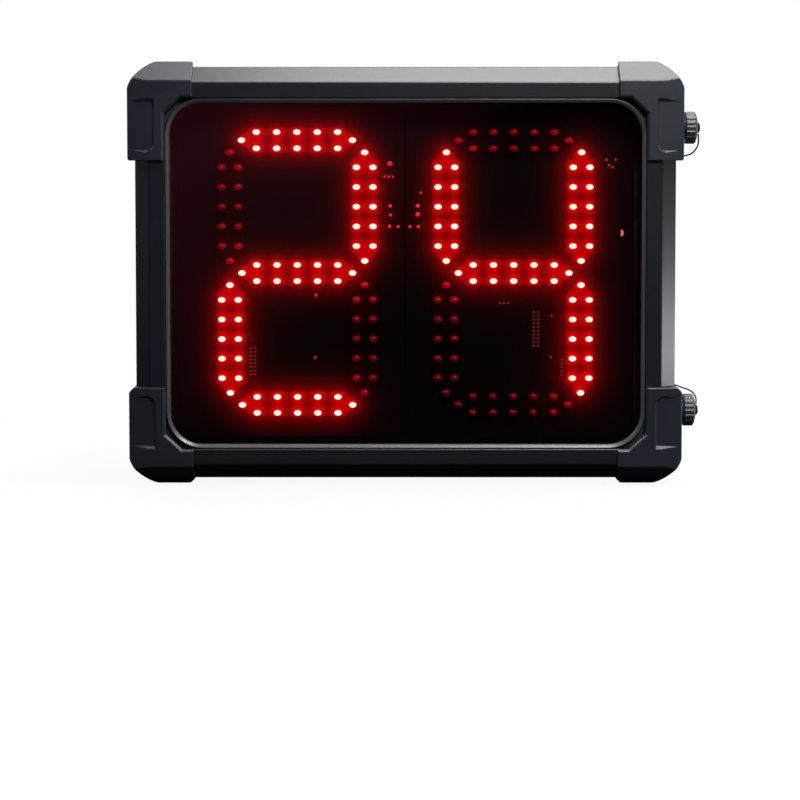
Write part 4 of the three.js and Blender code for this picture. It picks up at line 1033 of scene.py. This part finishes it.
def make_board_parts(side):
    """The small parts on one digit board: pin strips, and solder joints as domes with a painted glint, bright
    on top.
    """
    strips = [strip_shells(*strip) for strip in PIN_STRIPS[side]]
    joints = []
    for x, z, radius, _ in JOINTS[side]:
        dome = arc((0, board_front), (radius, JOINT_HEIGHT), 0, 90)
        joints.append(turned([(0, board_front), *dome], round_level(x, z), 12))
    parts = [(gathered([body for body, _ in strips]), "resin"),
             (gathered([heads for _, heads in strips] + joints), "pins")]
    obj = piece(f"{side}_board_parts", parts)
    points = front_points(obj)
    light = PIN_LIGHT + PIN_SPILL * spilled_light(points)
    # Painted glint on each solder joint: emission brightest at its middle, falling off by the radius squared
    for x, z, radius, share in JOINTS[side]:
        away = np.linalg.norm(points - (x, z), axis=1) / radius
        light = np.where(away < JOINT_REACH, share * np.clip(1 - away ** 2, 0, 1), light)
    spread(obj, "spill", light)


def make_receiver():
    """The remote receiver: a post under a half sphere, whose right half is lit up to near its rim."""
    x, z, radius, back, front = round_part("remote_receiver")
    profile = [(0, back), (radius, back), *arc((0, front - radius), radius, 0, 90, 10)]
    shell = turned(profile, round_level(x, z), 32)
    obj = piece("receiver_dome", [(shell, "receiver")], ["remote_receiver"])
    across, up = ((front_points(obj) - (x, z)) / radius).T
    middle, rim = GLINT_SLOPES
    spread(obj, "glint", np.clip(middle * across, 0, 1) * np.clip(rim * (1 - np.hypot(across, up)), 0, 1))


def on_socket(name):
    """Places what turns about a socket's axis, from the case's side outwards."""
    return round_x(case_side, SOCKET_LEVEL, SOCKET_Z[name])


def on_tether_screw(name):
    """Places what turns about the axis of a tether's screw, from the case's side outwards."""
    return round_x(case_side, TETHER_SCREW_LEVEL, SOCKET_Z[name] + TETHER_SIDE[name] * TETHER_SCREW_DROP)


def ribbed(turn, along):
    """Grip ribs: the radius dips where a cosine of the turn is low, with broad crests and narrow hollows
    between them, and the dips run out on the rounded end."""
    wave = (1 + np.cos(sizes().grip_ribs * turn)) / 2
    hollow = np.clip(1 - wave * RIB_NARROWNESS, 0, 1) ** RIB_SOFTNESS
    fade = np.clip((CAP_END - along) / CAP_DOME, 0, 1) ** 0.5
    return 1 - sizes().rib_depth / MM / CAP_RADIUS * hollow * fade


def make_cap(name):
    """A dust cap: a ribbed cup with a rounded shoulder, and the domed rivet that holds the tether's ring."""
    dome = arc((0, CAP_END - CAP_DOME), (CAP_RADIUS, CAP_DOME), 90, 0, 12)
    rim = arc((CAP_RADIUS - CAP_RIM_ROUND, CAP_RIM + CAP_RIM_ROUND), CAP_RIM_ROUND, 0, -90, 3)
    wall = [(CAP_BORE, CAP_INNER_END), (CAP_BORE, CAP_RIM), *rim[::-1], *dome[::-1], (0, CAP_INNER_END)]
    cup = turned(wall, on_socket(name), POINTS_A_RIB * sizes().grip_ribs, ribbed, True)
    shank, head, low, high = RIVET
    foot = (CAP_INNER_END + CAP_END) / 2
    edge = low + RIVET_EDGE
    crown = arc((0, edge), (head, high - edge), 0, 90)
    rivet = turned([(0, foot), (shank, foot), (shank, low), (head, low), *crown], on_socket(name), 32)
    piece(f"{name}_cap_grip", [(cup, "black_nylon"), (rivet, "wire")],
          [f"{name}_dust_cap"], f"{name}_dust_cap")


def threaded(turn, along):
    """A round thread: the radius dips as a cosine of the turns along the pitch less the turn's own share."""
    pitch = sizes().thread_pitch / MM
    wave = (1 - np.cos(2 * np.pi * (along / pitch - turn / (2 * np.pi)))) / 2
    return 1 - THREAD_SHARE * wave * ((along > THREAD_START) & (along < THREAD_END))


def make_socket(name):
    """A socket: a flange, a threaded barrel outside and a plain one inside, as one turned wall."""
    low, high = FLANGE
    edge = SOCKET_EDGE
    thread = [(BARREL_RADIUS, along) for along in np.linspace(THREAD_START, THREAD_END, 44)]
    wall = [(BARREL_BORE, BARREL_INSIDE), (BARREL_RADIUS, BARREL_INSIDE), (BARREL_RADIUS, low),
            (FLANGE_RADIUS - edge, low), (FLANGE_RADIUS, low + edge), (FLANGE_RADIUS, high - edge),
            (FLANGE_RADIUS - edge, high), (BARREL_RADIUS, high), *thread,
            (BARREL_RADIUS - edge, BARREL_END), (BARREL_BORE, BARREL_END)]
    shell = turned(wall, on_socket(name), 60, threaded, True)
    piece(f"{name}_socket_body", [(shell, "black_nylon")], [f"{name}_socket"])


def make_insert(name):
    """A contact insert: a turned core with a raised lip and round-tipped contacts on a circle."""
    radius, tail = BARREL_BORE - INSERT_GAP, BARREL_INSIDE - INSERT_TAIL
    rim, (inset, sunk) = INSERT_FACE - INSERT_LIP, INSERT_WELL
    core = turned([(0, tail), (radius, tail), (radius, rim), (radius - INSERT_LIP, rim),
                   (radius - inset, INSERT_FACE - sunk), (0, INSERT_FACE - sunk)], on_socket(name))
    tip = arc((0, INSERT_FACE - CONTACT_ROUND), (CONTACT_RADIUS, CONTACT_ROUND), 0, 90, 4)
    foot = INSERT_FACE - CONTACT_LENGTH
    pins = []
    for turn in np.arange(CONTACTS) / CONTACTS * 2 * np.pi:
        spot = round_x(case_side, SOCKET_LEVEL + CONTACT_CIRCLE * np.cos(turn),
                       SOCKET_Z[name] + CONTACT_CIRCLE * np.sin(turn))
        pins.append(turned([(0, foot), (CONTACT_RADIUS, foot), *tip], spot, 16))
    piece(f"{name}_contacts", [(core, "black_nylon"), (gathered(pins), "zinc_screw")],
          [f"{name}_socket_insert"])


def stranded(turn, distance):
    """The strands of a wire: the radius dips as a cosine of the turn and of the distance along it."""
    return 1 - STRAND_DEPTH * (1 + np.cos(STRANDS * turn + STRAND_TWIST * distance)) / 2


def make_tether(name):
    """A wire tether, whose strands show as a slow twist, with the eyelet that its screw holds."""
    z = SOCKET_Z[name]
    wire = tube(through(TETHERS[name], 10) + [case_side, SOCKET_LEVEL, z], TETHER_RADIUS, 12, stranded)
    inner, outer, low, high = EYELET
    edge = EYELET_EDGE
    profile = [(inner, low), (outer - edge, low), (outer, low + edge), (outer, high - edge),
               (outer - edge, high), (inner, high)]
    eyelet = turned(profile, on_tether_screw(name), 32, None, True)
    obj = piece(f"{name}_tether_wire", [(wire, "wire"), (eyelet, "wire")],
                [f"{name}_tether"], body=None)
    start = at(case_side + high, SOCKET_LEVEL, z)
    end = at(case_side + RING[2], SOCKET_LEVEL, z)
    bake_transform(obj, "case", f"{name}_cap_swivel", start=tuple(start), end=tuple(end))


def make_swivel(name):
    """The tether's ring: an oval section turned round the socket's axis."""
    inner, outer, low, high = RING
    middle, half = ((inner + outer) / 2, (low + high) / 2), ((outer - inner) / 2, (high - low) / 2)
    shell = turned(arc(middle, half, 0, 345, 15), on_socket(name), 36, None, True)
    piece(f"{name}_swivel_ring", [(shell, "wire")], [f"{name}_tether_ring"],
          f"{name}_cap_swivel")


def cross_recess(a, b, head):
    """How deep a head's cross recess lies at a place, from 0 to 1: two bars that cross at the middle."""
    reach, width = head * RECESS_REACH, head * RECESS_WIDTH
    bars = [np.clip((width - abs(v)) / RECESS_SIDE_SLOPE, 0, 1)
            * np.clip((reach - abs(u)) / RECESS_END_SLOPE, 0, 1) for u, v in ((a, b), (b, a))]
    return np.maximum(*bars)


def screw_shell(shank, head, seat, top, foot, place, dome, depth):
    """A turned screw. Its rings run up the shank and over the head's dome, which falls off by the radius
    squared and sinks into a cross recess."""
    fan = [(head * share, top - dome * share ** 2) for share in np.linspace(1, 0, 22)]

    def sunk(a, along, b):
        return place(a, along - depth * cross_recess(a, b, head) * (along > seat), b)

    return turned([(0, foot), (shank, foot), (shank, seat), (head, seat), *fan], sunk)


def make_tether_screw(name):
    """The pan-head screw that holds a tether's eyelet."""
    shell = screw_shell(*TETHER_SCREW, TETHER_SCREW_FOOT, on_tether_screw(name),
                        TETHER_SCREW_DOME, TETHER_SCREW_RECESS)
    piece(f"{name}_tether_pan_screw", [(shell, "zinc_screw")], [f"{name}_tether_screw"])


def make_cover_screw(number):
    """A countersunk cover screw: its recess faces the rear."""
    node = f"cover_screw_{number}"
    x, z, head, back, front = round_part(node)

    def place(a, along, b):
        return at(x + a, -along, z + b)

    shell = screw_shell(head / 2, head, -back - COVER_SCREW_HEAD, -back, -front, place,
                        COVER_SCREW_DOME, COVER_SCREW_RECESS)
    piece(f"{node}_head", [(shell, "zinc_screw")], [node])


def make_lead(node, points):
    """A sheathed lead along its route: a tube that is a little flattened by the cosine of twice the turn."""
    shell = tube(through(points, 8), LEAD_RADIUS[node], 20,
                 lambda turn, distance: 1 - LEAD_FLATNESS * (1 + np.cos(2 * turn)))
    piece(f"{node}_sheath", [(shell, "lead_sheath")], [node])


def make_ribbon():
    """The ribbon cable: a section whose half thickness is a web and a sine's bulge for each wire, carried
    along its route."""
    (left, *_), (right, *_) = extent("ribbon_cable")
    share = np.linspace(0, 1, RIBBON_WIRES * POINTS_A_WIRE + 1)
    x = left + (right - left) * share
    thick = RIBBON_WEB + (RIBBON_HALF - RIBBON_WEB) * abs(np.sin(np.pi * RIBBON_WIRES * share))
    route = np.array(RIBBON_ROUTE, float)
    along = np.gradient(route, axis=0)
    along /= np.linalg.norm(along, axis=1)[:, None]
    normal = np.stack([-along[:, 1], along[:, 0]], -1)
    around = np.concatenate([x, x[::-1]])
    reach = np.concatenate([thick, -thick[::-1]])
    level = route[:, :1] + normal[:, :1] * reach[None]
    z = route[:, 1:] + normal[:, 1:] * reach[None]
    shell = carried(at(np.broadcast_to(around, level.shape), level, z))
    piece("ribbon_wires", [(shell, "ribbon")], ["ribbon_cable"])


def make_buzzer():
    """The buzzer: a turned can with a stepped rim, and a rounded shoulder and a sound hole at the rear."""
    x, z, radius, back, front = round_part("buzzer")
    inset, drop = BUZZER_STEP
    can = radius - inset
    shoulder = arc((can - BUZZER_ROUND, back + BUZZER_ROUND), BUZZER_ROUND, 0, -90)
    profile = [(0, front), (radius, front), (radius, front - BUZZER_RIM), (can, front - BUZZER_RIM - drop),
               *shoulder, (BUZZER_HOLE + BUZZER_HOLE_EDGE, back), (BUZZER_HOLE, back + BUZZER_HOLE_EDGE),
               (BUZZER_HOLE, back + BUZZER_HOLE_DEPTH), (0, back + BUZZER_HOLE_DEPTH)]
    piece("buzzer_can", [(turned(profile, round_level(x, z)), "black_nylon")], ["buzzer"])


def lamp(name, power, place, target, size):
    """A soft rectangular lamp that faces a point, with its width level and the power of a setting."""
    data = bpy.data.lights.new(name, "AREA")
    data.shape = "RECTANGLE"
    data.size, data.size_y = size
    data.energy = getattr(studio(), power)
    obj = placed(name, data)
    obj.location = place
    obj.rotation_euler = (Vector(target) - Vector(place)).to_track_quat("-Z", "Y").to_euler()
    obj.visible_camera = False


def rays(tree):
    """Whether a ray comes from the camera, and whether it comes off gloss or through glass."""
    path = add(tree, "LightPath").outputs
    shiny = add(tree, "Math", {0: path["Is Glossy Ray"], 1: path["Is Transmission Ray"]}, operation="MAXIMUM")
    return path["Is Camera Ray"], shiny


def make_floor():
    """A wide floor under the clock. The camera sees it pale near the clock, where it takes the shadow, and
    white further off. Gloss and glass see it white far behind."""
    places = np.linspace(-FLOOR_REACH, FLOOR_REACH, 9)
    xs, ys = np.meshgrid(places, places)
    points = np.stack([xs, ys, np.full_like(xs, cad_box[0].z - FLOOR_GAP)], -1).reshape(-1, 3)
    mesh = bpy.data.meshes.new("floor")
    mesh.from_pydata(points.tolist(), [], grid_faces(9, 9, False, False))
    material, tree, shader, place = principled(
        "matt_floor_paint", Base_Color=linear("262626"), Roughness=0.8, Specular_IOR_Level=0.1,
        Emission_Color=(1, 1, 1, 1))
    away = add(tree, "VectorMath", {0: place}, operation="LENGTH").outputs["Value"]
    rear = add(tree, "SeparateXYZ", {"Vector": place}).outputs["Y"]
    far = add(tree, "MapRange", {"Value": rear, "From Min": MIRROR_FADE[0], "From Max": MIRROR_FADE[1]})
    near = add(tree, "MapRange", {"Value": away, "From Min": FLOOR_FADE[0], "From Max": FLOOR_FADE[1],
                                  "To Min": FLOOR_PALE})
    camera, shiny = rays(tree)
    mirrored = add(tree, "Math", {0: shiny, 1: far}, operation="MULTIPLY")
    seen = add(tree, "Math", {0: camera, 1: near}, operation="MULTIPLY")
    lift = add(tree, "Math", {0: seen, 1: mirrored}, operation="MAXIMUM")
    feed(tree, shader, {"Emission Strength": lift})
    mesh.materials.append(material)
    placed("floor", mesh)


def make_world():
    """White for the camera, white behind the clock for gloss and glass, and a dim grey for the rest."""
    world = bpy.data.worlds.new("studio")
    world.use_nodes = True
    tree = world.node_tree
    back = add(tree, "SeparateXYZ", {"Vector": add(tree, "TexCoord").outputs["Generated"]}).outputs["Y"]
    rear = add(tree, "MapRange", {"Value": back, "From Min": BACKDROP_FADE[0], "From Max": BACKDROP_FADE[1]})
    camera, shiny = rays(tree)
    seen = add(tree, "Math", {0: shiny, 1: rear}, operation="MULTIPLY")
    white = add(tree, "Math", {0: seen, 1: camera}, operation="MAXIMUM")
    mixed = add(tree, "Mix", {"Factor": white, "A": tuple(studio().surround), "B": (1, 1, 1, 1)},
                data_type="RGBA")
    feed(tree, tree.nodes["Background"], {"Color": mixed.outputs["Result"]})
    bpy.context.scene.world = world


def make_camera():
    """A camera at the photograph's place, aimed at the clock's middle line and shifted to its frame."""
    data = bpy.data.cameras.new("camera")
    data.sensor_width = SENSOR
    data.lens = SENSOR * FOCAL_PIXELS / PHOTO_PIXELS
    data.shift_x = (PHOTO_PIXELS / 2 - PRINCIPAL_POINT[0]) / PHOTO_PIXELS
    data.shift_y = (PRINCIPAL_POINT[1] - PHOTO_PIXELS / 2) / PHOTO_PIXELS
    obj = placed("camera", data)
    front = extent("top_profile")[1, 1]
    obj.location = at(CAMERA_ASIDE, front + CAMERA_FROM_FRONT, CAMERA_HEIGHT)
    pitch = math.atan(CAMERA_HEIGHT / (CAMERA_FROM_FRONT + front / 2))
    obj.rotation_euler = (math.pi / 2 - pitch, 0, 0)
    bpy.context.scene.camera = obj


class SHOTCLOCK_OT_profiles(bpy.types.Operator):
    """Finish the four extruded profiles"""

    bl_idname = "shot_clock.profiles"
    bl_label = "Profiles"

    def execute(self, context):
        for side in ("top", "bottom", "left", "right"):
            softened(f"{side}_profile", f"{side}_extrusion", "frame_profile", sizes().frame_edge)
        return {"FINISHED"}


class SHOTCLOCK_OT_corners(bpy.types.Operator):
    """Finish the four moulded corner pieces"""

    bl_idname = "shot_clock.corners"
    bl_label = "Corners"

    def execute(self, context):
        for side, draft_side in (("top_left", -1), ("top_right", 1), ("bottom_left", 0), ("bottom_right", 0)):
            softened(f"{side}_corner", f"{side}_moulding", "corner_moulding", sizes().corner_edge,
                     CORNER_WELD, draft_side)
        return {"FINISHED"}


class SHOTCLOCK_OT_window(bpy.types.Operator):
    """Build the bezel and the smoked window"""

    bl_idname = "shot_clock.window"
    bl_label = "Window"

    def execute(self, context):
        make_bezel()
        make_lens()
        dressed("lens_tape", "rubber_seal")
        return {"FINISHED"}


class SHOTCLOCK_OT_digits(bpy.types.Operator):
    """Build the fourteen LED segments and the remote receiver"""

    bl_idname = "shot_clock.digits"
    bl_label = "Digits"

    def execute(self, context):
        for side in LIT_SEGMENTS:
            for letter in "abcdefg":
                make_segment(side, letter)
        make_receiver()
        return {"FINISHED"}


class SHOTCLOCK_OT_boards(bpy.types.Operator):
    """Build the digit boards and the small parts on them"""

    bl_idname = "shot_clock.boards"
    bl_label = "Digit boards"

    def execute(self, context):
        for side in LIT_SEGMENTS:
            make_board(side)
            make_board_parts(side)
        return {"FINISHED"}


class SHOTCLOCK_OT_sockets(bpy.types.Operator):
    """Build the sockets, their dust caps and tethers"""

    bl_idname = "shot_clock.sockets"
    bl_label = "Sockets and caps"

    def execute(self, context):
        for name in SOCKET_Z:
            make_socket(name)
            make_insert(name)
            make_cap(name)
            make_tether(name)
            make_swivel(name)
            make_tether_screw(name)
            dressed(f"{name}_socket_gasket", "rubber_seal")
            dressed(f"{name}_cap_seal", "rubber_seal")
            softened(f"{name}_socket_nut", f"{name}_lock_nut", "black_nylon", sizes().sheet_edge)
        return {"FINISHED"}


class SHOTCLOCK_OT_electronics(bpy.types.Operator):
    """Build what lies between the boards and the rear cover"""

    bl_idname = "shot_clock.electronics"
    bl_label = "Electronics"

    def execute(self, context):
        for node, name, slot in [("board_tray", "tray_plate", "steel_sheet"),
                                 ("power_supply_base", "supply_base", "steel_sheet"),
                                 ("power_supply_cover", "supply_lid", "steel_sheet"),
                                 ("control_board", "control_board_parts", "control_board")]:
            softened(node, name, slot, sizes().sheet_edge)
        make_buzzer()
        make_ribbon()
        make_lead("mains_lead", MAINS_LEAD)
        make_lead("signal_lead", SIGNAL_LEAD)
        return {"FINISHED"}


class SHOTCLOCK_OT_rear(bpy.types.Operator):
    """Finish the rear cover, its gasket and its screws"""

    bl_idname = "shot_clock.rear"
    bl_label = "Rear cover"

    def execute(self, context):
        softened("rear_cover", "rear_panel", "rear_panel", sizes().sheet_edge)
        dressed("rear_cover_gasket", "rubber_seal")
        for number in range(1, 5):
            make_cover_screw(number)
        return {"FINISHED"}


class SHOTCLOCK_OT_stage(bpy.types.Operator):
    """Set up the floor, the world, the lamps and the camera"""

    bl_idname = "shot_clock.stage"
    bl_label = "Stage"

    def execute(self, context):
        make_camera()
        make_floor()
        make_world()
        for name, settings in LAMPS.items():
            lamp(name, *settings)
        context.scene.view_settings.view_transform = "Standard"
        return {"FINISHED"}


class SHOTCLOCK_PT_panel(bpy.types.Panel):
    """Lists the clock's pieces and what can be set"""

    bl_idname = "SHOTCLOCK_PT_panel"
    bl_label = "Shot Clock"
    bl_space_type = "VIEW_3D"
    bl_region_type = "UI"
    bl_category = "Shot Clock"

    def draw(self, context):
        for group in (sizes(), colours(), studio()):
            box = self.layout.box()
            for name in group.bl_rna.properties.keys():
                if name not in ("rna_type", "name"):
                    box.prop(group, name)
        for operator in OPERATORS:
            self.layout.operator(operator.bl_idname)


GROUPS = {
    "shot_clock_sizes": ShotClockSizes,
    "shot_clock_colours": ShotClockColours,
    "shot_clock_studio": ShotClockStudio,
}
OPERATORS = (
    SHOTCLOCK_OT_stage, SHOTCLOCK_OT_profiles, SHOTCLOCK_OT_corners, SHOTCLOCK_OT_window,
    SHOTCLOCK_OT_digits, SHOTCLOCK_OT_boards, SHOTCLOCK_OT_sockets, SHOTCLOCK_OT_electronics,
    SHOTCLOCK_OT_rear,
)


def register():
    for cls in (*GROUPS.values(), *OPERATORS, SHOTCLOCK_PT_panel):
        bpy.utils.register_class(cls)
    for name, group in GROUPS.items():
        setattr(bpy.types.Scene, name, bpy.props.PointerProperty(type=group))


def unregister():
    for name in GROUPS:
        delattr(bpy.types.Scene, name)
    for cls in reversed((*GROUPS.values(), *OPERATORS, SHOTCLOCK_PT_panel)):
        bpy.utils.unregister_class(cls)


def main():
    register()
    for operator in OPERATORS:
        getattr(bpy.ops.shot_clock, operator.bl_idname.split(".")[1])()


if __name__ == "__main__":
    main()
